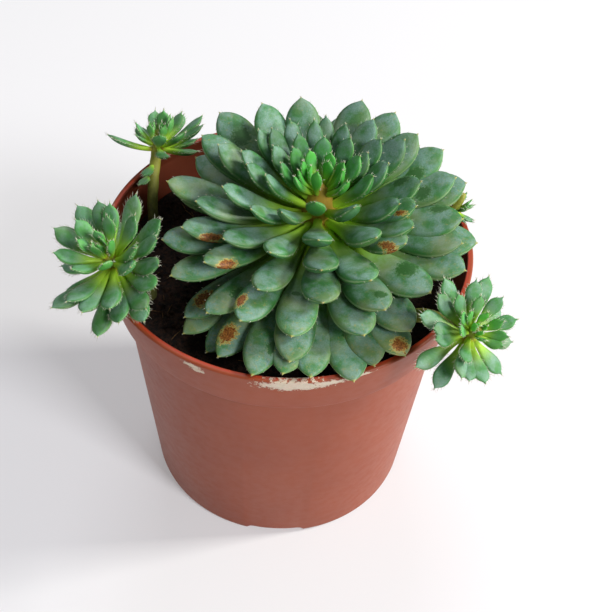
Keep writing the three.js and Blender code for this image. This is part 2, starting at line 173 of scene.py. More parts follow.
def mesh_piece(name, points, faces, attributes=None, smooth=True):
    """A mesh object from points in millimetres, with attributes given for each point."""
    mesh = bpy.data.meshes.new(name)
    mesh.from_pydata((np.asarray(points) * MM).tolist(), [], faces)
    for attribute_name, values in (attributes or {}).items():
        values = np.asarray(values, np.float32)
        attribute = mesh.attributes.new(attribute_name, "FLOAT_VECTOR", "POINT")
        attribute.data.foreach_set("vector", values.ravel())
    mesh.polygons.foreach_set("use_smooth", [smooth] * len(mesh.polygons))
    mesh.validate()
    mesh.update()
    piece = bpy.data.objects.new(name, mesh)
    bpy.context.scene.collection.objects.link(piece)
    return piece


def settle(piece, material, replaced=()):
    """Gives a piece its material and its place in the frame."""
    piece.data.materials.append(material)
    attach(piece, "root")
    if replaced:
        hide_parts(*replaced)
    print(f"{piece.name}: {len(piece.data.vertices)} points")


def unit(vector):
    """A vector of the same direction and of length one."""
    vector = np.asarray(vector, float)
    return vector / np.linalg.norm(vector)


def smooth_step(value, low, high):
    """0 below low, 1 above high, and a smooth rise between them."""
    share = np.clip((value - low) / (high - low), 0, 1)
    return share * share * (3 - 2 * share)


print("a quarter of the way up, smooth_step gives", smooth_step(0.25, 0, 1))

# %% [markdown]
# ## The shape of a leaf
#
# A leaf of this plant is a thick spoon: a narrow root, a broad end that is widest at about
# three quarters, then a blunt tip with a tiny hard point. Its upper face is nearly flat and
# its lower face is full, because that is where the plant stores water.
#
# Each leaf could be sculpted, or one leaf could be modelled and copied. Here each one is
# calculated, because every leaf on a rosette has its own length, width and direction, and a
# formula follows them all. Two curves give the width and the thickness from root to tip.

# %% Leaf outline
LEAF_RINGS = 22
LEAF_SIDES = 16
LEAF = {
    "widest_at": 0.76,
    "petiole_ends": 0.18,
    "petiole_width": 0.31,
    "thickest_at": 0.6,
    "root_thickness": 0.62,
    "upper_bulge": 0.42,
    "point_length": 0.7,
    "point_radius": 0.3,
    "point_power": 0.7,
    "end_power": 2.3,
    "end_root": 0.56,
    "pointed_root": 0.2,
    "end_thickness_power": 2.6,
    "end_thickness_root": 0.55,
    "section_power": 0.85,
    "ring_crowding": 1.4,
}


def width_share(along, pointed):
    """Width at a place along the blade, as a share of the widest."""
    rise = smooth_step(along, LEAF["petiole_ends"], LEAF["widest_at"])
    before = LEAF["petiole_width"] + (1 - LEAF["petiole_width"]) * rise
    beyond = np.clip((along - LEAF["widest_at"]) / (1 - LEAF["widest_at"]), 0, 1)
    root = LEAF["end_root"] + LEAF["pointed_root"] * pointed
    after = (1 - beyond ** LEAF["end_power"]) ** root
    return np.where(along < LEAF["widest_at"], before, after)


def thickness_share(along):
    """Thickness at a place along the blade, as a share of the thickest."""
    rise = np.sin(np.pi * np.clip(along / LEAF["thickest_at"], 0, 1) / 2)
    before = LEAF["root_thickness"] + (1 - LEAF["root_thickness"]) * rise
    beyond = np.clip((along - LEAF["thickest_at"]) / (1 - LEAF["thickest_at"]), 0, 1)
    after = (1 - beyond ** LEAF["end_thickness_power"]) ** LEAF["end_thickness_root"]
    return np.where(along < LEAF["thickest_at"], before, after)


print("half way along, a leaf has", round(float(width_share(0.5, 0)), 2), "of its width")

# %% [markdown]
# ## From a leaf's measures to its surface
#
# The next function lays rings of points along the leaf's bent midline. The rings get closer
# towards the tip, where the shape changes most. The surface has a little life of its own:
# a slight sideways bend, a slight twist, and a shallow hollow down the upper face. A leaf's
# number seeds its random draws, so each run grows the same plant.

# %% Leaf surface
MOST_BEND = 0.02
MOST_TWIST = math.radians(7)
HOLLOW = 0.04
HOLLOW_CHANGE = 0.03


def leaf_ways(leaf):
    """A leaf's length, and the ways forward, sideways and out of its upper face."""
    reach = leaf["tip"] - leaf["root"]
    length = np.linalg.norm(reach)
    forward = reach / length
    side = unit(np.cross(leaf["up"], forward))
    return length, forward, side, np.cross(forward, side)


def leaf_surface(leaf, number):
    """Points of one leaf (root point, rings, tip point) and the numbers that go with them."""
    rng = np.random.default_rng(number)
    bend, twist, hollow = rng.uniform(-1, 1, 3) * (MOST_BEND, MOST_TWIST, HOLLOW_CHANGE)
    length, forward, side, normal = leaf_ways(leaf)

    along = 1 - (1 - np.linspace(0, 1, LEAF_RINGS + 1)[:-1]) ** LEAF["ring_crowding"]
    point_share = LEAF["point_length"] / length
    blade = np.minimum(along / (1 - point_share), 1)
    to_tip = np.clip((1 - along) / point_share, 0, 1)
    point = LEAF["point_radius"] * to_tip ** LEAF["point_power"]
    half = np.maximum(leaf["width"] / 2 * width_share(blade, leaf["pointed"]), point)
    thick = np.maximum(leaf["thickness"] * thickness_share(blade), 2 * point)
    arch = 4 * along * (1 - along)
    middle = (
        leaf["root"]
        + np.outer(along * length, forward)
        - np.outer(arch * leaf["curl"] * length, normal)
        + np.outer(arch * bend * length, side)
    )
    turned = twist * along
    across_way = np.outer(np.cos(turned), side) + np.outer(np.sin(turned), normal)
    upward = np.outer(np.cos(turned), normal) - np.outer(np.sin(turned), side)

    angle = 2 * np.pi * np.arange(LEAF_SIDES) / LEAF_SIDES
    across = np.cos(angle)
    depth = np.sin(angle)
    bulge = np.where(depth > 0, LEAF["upper_bulge"], 1 - LEAF["upper_bulge"])
    section = bulge * np.sign(depth) * np.abs(depth) ** LEAF["section_power"]
    dip = (HOLLOW + hollow) * (depth > 0) * (1 - across ** 2) ** 2
    trough = smooth_step(along, 0.1, 0.45) * (1 - smooth_step(along, 0.75, 0.95))
    lift = np.outer(thick, section) - np.outer(thick * trough, dip)
    points = (
        middle[:, None, :]
        + (half[:, None] * across)[:, :, None] * across_way[:, None, :]
        + lift[:, :, None] * upward[:, None, :]
    ).reshape(-1, 3)
    points = np.vstack([middle[0], points, leaf["tip"]])
    return points, leaf_values(leaf, number, rng.uniform(), along, half, across, depth)


print("a leaf has", LEAF_RINGS * LEAF_SIDES + 2, "points")

# %% [markdown]
# ## What a leaf's points know
#
# Four sets of numbers go with each point. `place` says where on the leaf it lies: along,
# across, and on the upper or lower face. `life` holds the leaf's age, a random tone and how
# bright green it is. `grain` is the place on the skin in millimetres, which the patterns of
# the material are drawn in, with a level of its own for each leaf of a plant and each face,
# so that neighbours don't share a pattern. `scar` is the distance from the leaf's old wound,
# if it has one, across and along it in units of the wound's own size, and the kind of wound.
# A picture on the leaf could tell the material all this too, but numbers need no unfolding.

# %% Leaf values
NO_SCAR = (9.0, 9.0, 0.0)
LEVEL_STEP = 31.7
FACE_STEP = 3


def leaf_values(leaf, number, tone, along, half, across, depth):
    """The four sets of numbers for the points of one leaf."""
    length = leaf_ways(leaf)[0]
    rows = np.repeat(along, LEAF_SIDES)
    columns = np.tile(across, LEAF_RINGS)
    place = np.stack([rows, columns, np.tile(depth, LEAF_RINGS)], 1)
    place = np.vstack([(0, 0, 0), place, (1, 0, 0)])
    skin = np.stack([np.repeat(half, LEAF_SIDES) * columns, rows * length], 1)
    skin = np.vstack([(0, 0), skin, (0, length)])
    grain = np.column_stack([skin, LEVEL_STEP * number + FACE_STEP * place[:, 2]])
    life = np.tile([leaf["age"], tone, leaf["bright"]], (len(skin), 1))
    scar = np.tile(NO_SCAR, (len(skin), 1))
    if leaf.get("scar"):
        scar_across, scar_along, scar_wide, scar_long, kind = leaf["scar"]
        scar[:, 0] = (skin[:, 0] - scar_across * leaf["width"] / 2) / scar_wide
        scar[:, 1] = (skin[:, 1] - scar_along * length) / scar_long
        scar[:, 2] = kind
    return {"place": place, "life": life, "grain": grain, "scar": scar}


def leaves_piece(name, leaves):
    """One mesh of many leaves."""
    points, faces, attributes = [], [], {}
    count = 0
    for number, leaf in enumerate(leaves):
        skin, values = leaf_surface(leaf, number)
        faces += ring_faces(LEAF_RINGS, LEAF_SIDES, count)
        points.append(skin)
        count += len(skin)
        for attribute_name, rows in values.items():
            attributes.setdefault(attribute_name, []).append(rows)
    joined = {key: np.vstack(rows) for key, rows in attributes.items()}
    return mesh_piece(name, np.vstack(points), faces, joined)


print("patterns of neighbouring leaves are", LEVEL_STEP, "mm apart")

# %% [markdown]
# ## Where the leaves stand
#
# A rosette's leaves leave the stem one above the other and spread like a dome. A growing tip
# sets each leaf a fixed angle on from the last, and a loop could do the same, but such a
# spiral doesn't put these leaves where the photograph shows them. So the turns of leaves
# below are readings: the place of a tip in the photograph, cast onto the dome, gives how far
# it reaches from the stem and its bearing round it. The readings are rounded and some are
# changed, and leaves that the photograph hides are added. The height of a tip follows from
# the dome, unless it is given, and the width and thickness of a leaf follow from its length.

# %% Rosette axes
def axes(base, axis):
    """The stem's own axes: z along it, x and y spanning the plane that bearings turn in."""
    up = unit(axis)
    right = unit(np.array([1.0, 0, 0]) - up * up[0])
    return {"base": np.asarray(base, float), "x": right, "y": np.cross(up, right), "z": up}


def place_on(stem, bearing, radius, height):
    """A point at a bearing in degrees, a radius and a height over the stem's base."""
    turn = math.radians(bearing)
    level = stem["x"] * math.cos(turn) + stem["y"] * math.sin(turn)
    return stem["base"] + level * radius + stem["z"] * height


def upper_side(root, tip, stem, bearing):
    """The way a leaf's upper face looks: up the stem, or inwards if the leaf stands up."""
    forward = unit(tip - root)
    inward = place_on(stem, bearing + 180, 1, 0) - stem["base"]
    guide = inward if forward @ stem["z"] > 0.93 else stem["z"]
    return unit(guide - forward * (forward @ guide))


print("a straight stem has its x axis along", axes((0, 0, 0), (0, 0, 1))["x"])

# %% [markdown]
# ## The big rosette
#
# It leans a little to the front. Leaves near the heart are short, upright and bright green.
# The outer ones are the oldest, and lie nearly flat over the rim of the pot. In front the
# inner leaves are a little wider than usual and the outer ones a little narrower. Those at
# the left, and the half-grown ones at the back, are narrower too.

# %% Turns of the big rosette
# Lengths are in millimetres, the lean is in degrees, and the rest are shares: of a leaf's
# length for its width and curl, and of its width for its thickness, gains and losses.
ROSETTE = {
    "base": (8, -2, POT_HEIGHT + 8),
    "lean": 9.5,
    "dome_radius": 48,
    "dome_height": 24,
    "dome_power": 2.5,
    "dome_root": 0.6,
    "heart_height": 13.5,
    "heart_reach": 8,
    "lowest_root": 1.5,
    "drop_reach": 40,
    "drop_power": 0.4,
    "root_radius": (1, 3.2),
    "thickness": (0.6, 0.2),
    "curl": (0.04, 0.05),
    "lying_below": 5,
    "lying_within": 45,
    "widest_leaf": 13,
    "width_share": 0.315,
    "front_gain": (0.1, -0.15),
    "left_loss": 0.22,
    "back_loss": 0.34,
}
# Each turn: how far its tips reach, their height if they aren't on the dome, their bearings.
ROSETTE_TURNS = [
    (2.4, 24.6, [-118]),
    (3, 23.2, [165, 60]),
    (5.4, 24, [163, -10]),
    (6.2, 23.2, [-172, 68, 24]),
    (6.8, 23.7, [121]),
    (8, None, [-153, -35]),
    (10, 24, [142]),
    (10.9, None, [175, 88, 25]),
    (11.3, 23.2, [-98]),
    (13.5, None, [-8, 57, 27, 120]),
    (15, None, [-168, -56, 151]),
    (17.8, None, [70, 98, -124, 11]),
    (19.8, None, [38, 134, 88, 177, 117]),
    (22.3, None, [-91, -25, 141, -143, 164]),
    (24.7, None, [-55, 56]),
    (26.3, None, [-1, 32, -20, -168]),
    (28.3, None, [-33, -116]),
    (29.8, None, [-43, 102, -89, 160]),
    (32, None, [35, 122, 70, -140]),
    (33.6, None, [-67, 53, -166]),
    (37, None, [9, -114, -88, 153, 25]),
    (38.6, None, [-11, -158, -139]),
    (40.3, None, [-21, -65, 9, 136]),
    (41.5, None, [176, -46]),
    (43.8, None, [-98, -74, -160, -15, -28, -116]),
    (45.5, None, [-128, -58, -147]),
    (49.2, 2.6, [-72, -62]),
    (51, 2.6, [-91, -99]),
    (48.5, 4.8, [-97.5]),
    (52.5, 2.5, [-79]),
    (53.3, 2.3, [-107]),
    (50.3, -1.5, [-119.5]),
    (49, -5.5, [-125, -135]),
    (47, -1.5, [-137]),
    (40, 3, [112, 78, 95, 128]),
    (41, 2, [45, 62, 168, 150]),
    (40, -3, [-172, 103, 85]),
]
print("the big rosette has", sum(len(turn[2]) for turn in ROSETTE_TURNS), "leaves")

# %% [markdown]
# ## Old wounds
#
# Some old leaves carry corky scars, where they were hurt and have healed, and dark green
# bruises, where the bloom is gone. They could be random, but a wound catches the eye, so
# each is listed by the reach and the bearing of its leaf. Then come its place across the
# leaf (-1 to 1) and along it (0 to 1), half its width and half its length in millimetres,
# and its kind: cork (0) or bruise (1).

# %% Wounds
SCARS = {
    (29.8, -43): (-0.55, 0.86, 1.4, 3.4, 0),
    (26.3, -20): (-0.5, 0.84, 0.9, 2.2, 0),
    (38.6, -139): (0.75, 0.86, 1.5, 3.6, 0),
    (38.6, -158): (0.8, 0.8, 1.0, 3.8, 0),
    (50.3, -119.5): (-0.35, 0.84, 2.4, 3.6, 0),
    (47, -137): (-0.2, 0.82, 2.4, 3.2, 0),
    (43.8, -116): (-0.6, 0.84, 1.3, 2.8, 0),
    (49.2, -62): (0.0, 0.92, 2.6, 2.6, 0),
    (40.3, 136): (0.0, 0.74, 3.2, 3.0, 1),
    (33.6, -67): (0.9, 0.82, 1.6, 3.4, 1),
    (40.3, -65): (0.3, 0.85, 2.0, 1.6, 1),
    (52.5, -79): (0.1, 0.7, 1.5, 1.3, 1),
    (41.5, -46): (0.4, 0.72, 3.6, 3.2, 1),
    (45.5, -58): (0.5, 0.7, 1.8, 1.5, 1),
    (43.8, -28): (0.2, 0.7, 2.6, 3.0, 1),
    (37, 9): (-0.4, 0.72, 2.4, 2.6, 1),
    (40.3, -21): (0.5, 0.6, 2.2, 3.2, 1),
    (43.8, -98): (-0.2, 0.62, 1.2, 1.0, 1),
    (26.3, -1): (0.5, 0.78, 1.8, 3.0, 1),
    (37, 25): (-0.5, 0.7, 2.4, 3.4, 1),
    (38.6, -11): (0.6, 0.8, 1.6, 3.0, 1),
    (45.5, -128): (0.3, 0.74, 2.2, 2.6, 1),
    (53.3, -107): (0.5, 0.8, 1.6, 2.2, 1),
}
print(len(SCARS), "leaves have a wound")

# %% [markdown]
# ## The measures of a leaf of the big rosette
#
# Each leaf could be given by hand, by its root, its tip and its width. Here one rule gives
# them for all leaves: the further a leaf reaches, the older it is and the lower on the stem
# it sits, and its width and thickness follow from the length between root and tip.

# %% Big rosette
def dome_rise(reach):
    """The height of the dome at a distance from its axis."""
    share = min(reach / ROSETTE["dome_radius"], 1)
    return ROSETTE["dome_height"] * (1 - share ** ROSETTE["dome_power"]) ** ROSETTE["dome_root"]


def rosette_point(reach, bearing):
    """How pointed a leaf's end is: young, old, back and right leaves more than the others."""
    turn = math.radians(bearing)
    young = 0.6 * (1 - smooth_step(reach, 8, 30))
    old = 0.5 * smooth_step(reach, 44, 50)
    return 0.1 + max(young, old, 0.5 * math.sin(turn), 0.45 * math.cos(turn))


def width_gain(reach, bearing, outward):
    """How much wider than usual a leaf is, by its side of the rosette and its reach."""
    turn = math.radians(bearing)
    near, far = ROSETTE["front_gain"]
    front = max(0, -math.sin(turn))
    back = max(0, math.sin(turn))
    left = min(1, 1.6 * max(0, -math.cos(turn))) * (1 - back)
    half_grown = smooth_step(reach, 8, 17) * (1 - smooth_step(reach, 21, 30))
    gain = 1 + front * (near + (far - near) * outward)
    gain *= 1 - ROSETTE["left_loss"] * left
    return gain * (1 - ROSETTE["back_loss"] * half_grown * back ** 2)


def rosette_leaf(stem, reach, rise, bearing):
    """The measures of one leaf of the big rosette."""
    outward = min(reach / ROSETTE["dome_radius"], 1)
    rise = dome_rise(reach) if rise is None else rise
    lying = rise < ROSETTE["lying_below"] and reach < ROSETTE["lying_within"]
    beyond = max(0, (reach - ROSETTE["heart_reach"]) / ROSETTE["drop_reach"])
    span = ROSETTE["heart_height"] - ROSETTE["lowest_root"]
    drop = span * beyond ** ROSETTE["drop_power"]
    root_height = ROSETTE["lowest_root"] if lying else ROSETTE["heart_height"] - drop
    inmost, spread = ROSETTE["root_radius"]
    root = place_on(stem, bearing, inmost + spread * outward, root_height)
    tip = place_on(stem, bearing, reach, rise)
    length = np.linalg.norm(tip - root)
    usual = min(ROSETTE["width_share"] * length, ROSETTE["widest_leaf"])
    width = width_gain(reach, bearing, outward) * usual
    young_thickness, thinning = ROSETTE["thickness"]
    old_curl, young_curl = ROSETTE["curl"]
    return {
        "root": root,
        "tip": tip,
        "up": upper_side(root, tip, stem, bearing),
        "width": width,
        "thickness": (young_thickness - thinning * outward) * width,
        "curl": old_curl + young_curl * (1 - outward),
        "pointed": rosette_point(reach, bearing),
        "age": outward,
        "bright": 1 - smooth_step(reach, 3, 18),
        "scar": SCARS.get((reach, bearing)),
    }


lean = math.radians(ROSETTE["lean"])
rosette_stem = axes(ROSETTE["base"], (0, -math.sin(lean), math.cos(lean)))
rosette_leaves = [
    rosette_leaf(rosette_stem, reach, rise, bearing)
    for reach, rise, bearings in ROSETTE_TURNS
    for bearing in bearings
]
longest = max(leaf_ways(leaf)[0] for leaf in rosette_leaves)
print(f"the longest leaf of the big rosette is {longest:.0f} mm long")

# %% [markdown]
# ## The offsets
#
# Each offset is a small rosette on a stem of its own, which starts at its foot in the soil,
# curves towards its bend and runs through its base into its heart. The two in front lean out
# over the rim. A copy of the big rosette at a smaller size would be quick, but the leaves of
# an offset are few and stand in other places, so each has its own list. A dome is given by
# its radius, its height and how square its shoulder is, and the turns are written as those
# of the big rosette are.
# `fresh` says how bright green the heart is. Leaves that hang below the base sit lower down
# on the stem.

# %% Offsets
OFFSETS = {
    "offset_left": {
        "foot": (-38, -14),
        "bend": (-38, -14, POT_HEIGHT + 3),
        "base": (-45.5, -20.2, POT_HEIGHT + 6),
        "axis": (-0.29, -0.21, 0.93),
        "dome": (23, 14, 2.6),
        "root_height": 6,
        "stem_radius": 2,
        "widest_leaf": 5.6,
        "width_share": 0.33,
        "fresh": 0.45,
        "turns": [
            (1.2, 12.5, [40, 190, -70]),
            (2.2, None, [92, -103]),
            (4.8, None, [-22, 178]),
            (7.3, None, [68]),
            (8.8, None, [-68]),
            (9.9, None, [132, -123]),
            (12, None, [-18, 33, -171, 79]),
            (13.8, None, [97, -41]),
            (16.1, None, [-1, 152]),
            (17.3, None, [22, 121, -115]),
            (18.2, None, [65, -24]),
            (18.9, None, [-77, -100]),
            (20, None, [-39, -130]),
            (21.5, None, [-75, -54]),
            (22.6, 2, [-93, -60]),
            (17, -1, [50, 100, 170, -150]),
        ],
    },
    "offset_right": {
        "foot": (31, -27),
        "bend": (31, -27, POT_HEIGHT + 7),
        "base": (46.5, -40.8, POT_HEIGHT + 8),
        "axis": (0.3, -0.45, 0.84),
        "dome": (17.3, 10, 2.2),
        "root_height": 4,
        "stem_radius": 1.9,
        "widest_leaf": 4.6,
        "width_share": 0.33,
        "fresh": 1,
        "turns": [
            (1, 8.5, [20, 150, -100]),
            (2.5, None, [-175]),
            (3.5, None, [-94, 81]),
            (5.3, None, [141, 20]),
            (6.9, None, [157, -168, -16, -42]),
            (8, None, [97]),
            (10.5, None, [56, 19, -118, 131]),
            (12.9, None, [94, -161, -174]),
            (13.8, None, [-82, -101, -110, 145]),
            (15.6, None, [75, 171, 124]),
            (17.3, -1, [-145, -121]),
            (14, -2, [0, 40, -40]),
        ],
    },
    "offset_back_left": {
        "foot": (-40.3, 15.3),
        "bend": (-41, 20, POT_HEIGHT),
        "base": (-39.7, 27.8, POT_HEIGHT + 7),
        "axis": (0.03, 0.5, 0.86),
        "dome": (16, 11, 2),
        "root_height": 3,
        "stem_radius": 1.6,
        "widest_leaf": 4.4,
        "width_share": 0.42,
        "fresh": 0.45,
        "turns": [
            (1.2, 8.5, [-30, 200]),
            (3, 11.6, [70]),
            (3.4, 10.8, [1]),
            (3.6, 8.2, [-50, -130]),
            (4.4, 10.4, [-10]),
            (5.9, 11.2, [107]),
            (7, 7.5, [168]),
            (7.9, 11.1, [85]),
            (6.9, 4.6, [-154]),
            (9, 11.1, [47]),
            (9.3, 6.5, [-26]),
            (9.5, 6, [-80]),
            (12.3, 10, [58]),
            (13.4, 8.2, [14]),
            (14.8, 10.3, [34]),
            (12.8, 3.5, [28]),
            (12.3, 0.5, [4]),
            (14.6, 4, [-168]),
            (12.5, 5.5, [92, 125]),
            (9.5, -0.7, [-69]),
            (8, -6.7, [-111]),
            (7.2, -9.8, [-128]),
        ],
    },
    "offset_back_right": {
        "foot": (38, 15),
        "bend": (40, 14, POT_HEIGHT),
        "base": (47, 10.6, POT_HEIGHT + 4),
        "axis": (0.45, 0.25, 0.86),
        "dome": (8, 6, 2),
        "root_height": 2,
        "stem_radius": 1.4,
        "widest_leaf": 3.8,
        "width_share": 0.33,
        "fresh": 0.8,
        "turns": [
            (2, 6.2, [61, 200]),
            (2.6, 5.9, [-23]),
            (3.8, 5.1, [-43, 130]),
            (5.1, 4.2, [-75, 15, 95]),
            (7, 1.2, [-36, 50]),
            (6.8, 0.6, [-63, -5]),
        ],
    },
}
print("offsets:", ", ".join(OFFSETS))

# %% [markdown]
# ## The measures of an offset's leaves
#
# The same function will skin these leaves, so they only need measures of their own. They are
# small, end in a sharp point and start closer to the stem. All of them are young, so their
# age only runs from 0.2 to 0.6.

# %% Leaves of the offsets
OFFSET_LEAF = {
    "root_radius": 0.8,
    "dome_root": 0.6,
    "hanging_below": -2,
    "thickness": 0.45,
    "least_thickness": 1,
    "curl": 0.05,
    "pointed": 0.8,
    "youngest": 0.2,
    "aging": 0.4,
}


def offset_leaves(offset):
    """The measures of every leaf of an offset."""
    stem = axes(offset["base"], offset["axis"])
    dome_radius, dome_height, power = offset["dome"]
    leaves = []
    for reach, rise, bearings in offset["turns"]:
        outward = min(reach / dome_radius, 1)
        on_dome = dome_height * (1 - outward ** power) ** OFFSET_LEAF["dome_root"]
        tip_height = on_dome if rise is None else rise
        for bearing in bearings:
            lowered = min(tip_height - OFFSET_LEAF["hanging_below"], 0)
            root_height = offset["root_height"] * (1 - outward) + lowered
            root = place_on(stem, bearing, OFFSET_LEAF["root_radius"], root_height)
            tip = place_on(stem, bearing, reach, tip_height)
            length = np.linalg.norm(tip - root)
            width = min(offset["width_share"] * length, offset["widest_leaf"])
            leaves.append({
                "root": root,
                "tip": tip,
                "up": upper_side(root, tip, stem, bearing),
                "width": width,
                "thickness": max(
                    OFFSET_LEAF["thickness"] * width, OFFSET_LEAF["least_thickness"]
                ),
                "curl": OFFSET_LEAF["curl"],
                "pointed": OFFSET_LEAF["pointed"],
                "age": OFFSET_LEAF["youngest"] + OFFSET_LEAF["aging"] * outward,
                "bright": offset["fresh"] * (1 - smooth_step(outward, 0.1, 0.8)),
            })
    return stem, leaves


for name, offset in OFFSETS.items():
    offset["stem"], offset["leaves"] = offset_leaves(offset)
    print(name, "has", len(offset["leaves"]), "leaves")

# %% [markdown]
# ## Leaf skin
#
# Real material: living leaf tissue under a waxy skin, as grown. The tissue is a saturated
# green. Over it lies bloom, a powder of wax that makes the upper face blue-grey and dull,
# and that rubs off in patches and along edges. The lower face is given less bloom than the
# upper, so it shows the darker tissue: that is painted shade. Near the stem there is no
# bloom and little green, so the root of a leaf is yellow-green, and ochre right at the stem.
# The tiny point at the tip is dry and straw-coloured. Leaves let some light through, which
# is what subsurface scattering does. The skin's IOR lies between those of water, 1.33, and
# of wax, 1.44, and bloom is rough.
#
# A picture could be painted for each leaf. Here nodes mix the colour from where a point lies
# on its leaf, so that one material fits them all. It is built in steps, and each has a cell:
# what the material knows about a point, the bloom, the marks of age, the ends and edges of
# the leaf, and its wounds.

# %% Leaf facts
# A scale counts the marks in a millimetre: patches of bloom are some 4 mm wide, the grain of
# its powder is about 0.4 mm, specks are 0.8 mm and clouds of olive 9 mm.
LEAF_PATTERNS = {
    "patches": {"Scale": 0.25, "Detail": 4, "Roughness": 0.6},
    "powder": {"Scale": 2.4, "Detail": 3, "Roughness": 0.7},
    "specks": {"Scale": 1.3, "Detail": 4, "Roughness": 0.7},
    "clouds": {"Scale": 0.11, "Detail": 2, "Roughness": 0.5},
}
LEAF_NUMBERS = {
    "place": ("along", "across", "upper"),
    "life": ("age", "tone", "bright"),
    "scar": ("scar_across", "scar_along", "scar_kind"),
}


def leaf_facts(material):
    """What the material knows about a point: its numbers and its patterns, by name."""
    facts = {}
    for attribute_name, names in LEAF_NUMBERS.items():
        stored = add(material, "ShaderNodeAttribute", attribute_name=attribute_name)
        split = add(material, "ShaderNodeSeparateXYZ", {"Vector": stored.outputs["Vector"]})
        facts.update(zip(names, split.outputs))
    facts["edge"] = add(material, "ShaderNodeMath", {0: facts["across"]}, operation="ABSOLUTE")
    grain = add(material, "ShaderNodeAttribute", attribute_name="grain")
    for pattern, settings in LEAF_PATTERNS.items():
        facts[pattern] = add(material, "ShaderNodeTexNoise", {
            "Vector": grain.outputs["Vector"], **settings,
        })
    return facts


print("patterns on a leaf:", ", ".join(LEAF_PATTERNS))

# %% Bloom over tissue
# For each fact that thins the bloom: where its range starts and ends, and the share of the
# bloom that is left there. Patches, powder, edges and young leaves thin the real wax; the
# thinner bloom on the lower face is painted shade.
BLOOM_LEFT = {
    "patches": (0.38, 0.58, 0.15, 1.0),
    # The lower face keeps about a third of the bloom and shows darker tissue: painted shade.
    "upper": (-0.5, 0.5, 0.35, 1.0),
    "edge": (0.75, 0.97, 1.0, 0.15),
    "powder": (0.35, 0.65, 0.55, 1.0),
    "bright": (0.0, 1.0, 0.85, 0.15),
}


def bloomed_skin(material, facts, young, grown, bloom):
    """Green tissue under the bloom that is left on it."""
    cover = add(material, "ShaderNodeMapRange", {
        "Value": facts["along"], "From Min": 0.25, "From Max": 0.6,
    }, interpolation_type="SMOOTHSTEP")
    for fact, (low, high, left_low, left_high) in BLOOM_LEFT.items():
        left = add(material, "ShaderNodeMapRange", {
            "Value": facts[fact], "From Min": low, "From Max": high,
            "To Min": left_low, "To Max": left_high,
        })
        cover = add(material, "ShaderNodeMath", {0: cover, 1: left}, operation="MULTIPLY")
    tissue = add(material, "ShaderNodeMix", {
        "Factor": facts["bright"], "A": colour(grown), "B": colour(young),
    }, data_type="RGBA")
    return add(material, "ShaderNodeMix", {
        "Factor": cover, "A": tissue, "B": colour(bloom),
    }, data_type="RGBA")


# Of these, upper paints shade: the lower face keeps less bloom and reads darker.
print("bloom wears with:", ", ".join(BLOOM_LEFT))

# %% Marks of age
OLIVE = "#7f8a58"
SPECK = "#8f8c50"


def aged_skin(material, facts, skin):
    """Old leaves turn olive in places, and get straw-coloured specks towards the end."""
    clouded = add(material, "ShaderNodeMapRange", {
        "Value": facts["clouds"], "From Min": 0.48, "From Max": 0.7, "To Max": 0.6,
    })
    olive = add(material, "ShaderNodeMath", {
        0: clouded, 1: facts["age"],
    }, operation="MULTIPLY")
    near_end = add(material, "ShaderNodeMath", {
        0: facts["along"], 1: facts["age"],
    }, operation="MULTIPLY")
    likely = add(material, "ShaderNodeMath", {
        0: near_end, 1: 0.16, 2: facts["specks"],
    }, operation="MULTIPLY_ADD")
    speckled = add(material, "ShaderNodeMapRange", {
        "Value": likely, "From Min": 0.68, "From Max": 0.82, "To Max": 0.62,
    })
    for share, tint in ((olive, OLIVE), (speckled, SPECK)):
        skin = add(material, "ShaderNodeMix", {
            "Factor": share, "A": skin, "B": colour(tint),
        }, data_type="RGBA")
    return skin


print("marks of age:", OLIVE, SPECK)

# %% Root, margin and tip
MARGIN = "#9fb58a"
DRY_TIP = "#a8a04c"


def ended_skin(material, facts, skin, root, stem_end):
    """A yellow-green root, ochre at the stem, a pale line on the margin and a dry tip."""
    near_root = add(material, "ShaderNodeMapRange", {
        "Value": facts["along"], "From Min": 0.12, "From Max": 0.68,
        "To Min": 1.0, "To Max": 0.0,
    }, interpolation_type="SMOOTHSTEP")
    near_stem = add(material, "ShaderNodeMapRange", {
        "Value": facts["along"], "From Min": 0.03, "From Max": 0.16,
        "To Min": 0.8, "To Max": 0.0,
    }, interpolation_type="SMOOTHSTEP")
    margin = add(material, "ShaderNodeMapRange", {
        "Value": facts["edge"], "From Min": 0.955, "From Max": 1.0, "To Max": 0.5,
    })
    outer_half = add(material, "ShaderNodeMapRange", {
        "Value": facts["along"], "From Min": 0.45, "From Max": 0.8,
    })
    line = add(material, "ShaderNodeMath", {0: margin, 1: outer_half}, operation="MULTIPLY")
    tip = add(material, "ShaderNodeMapRange", {
        "Value": facts["along"], "From Min": 0.978, "From Max": 0.992,
    })
    layers = ((near_root, root), (near_stem, stem_end), (line, MARGIN), (tip, DRY_TIP))
    for share, tint in layers:
        skin = add(material, "ShaderNodeMix", {
            "Factor": share, "A": skin, "B": colour(tint),
        }, data_type="RGBA")
    return skin


print("margin and tip:", MARGIN, DRY_TIP)

# %% Wounds in the skin
# A wound's edge lies where its distance, made ragged by the specks, passes these values.
WOUND_RIM = (2.0, 2.15)
WOUND_CORE = (1.8, 1.95)
RAGGED = 2.2


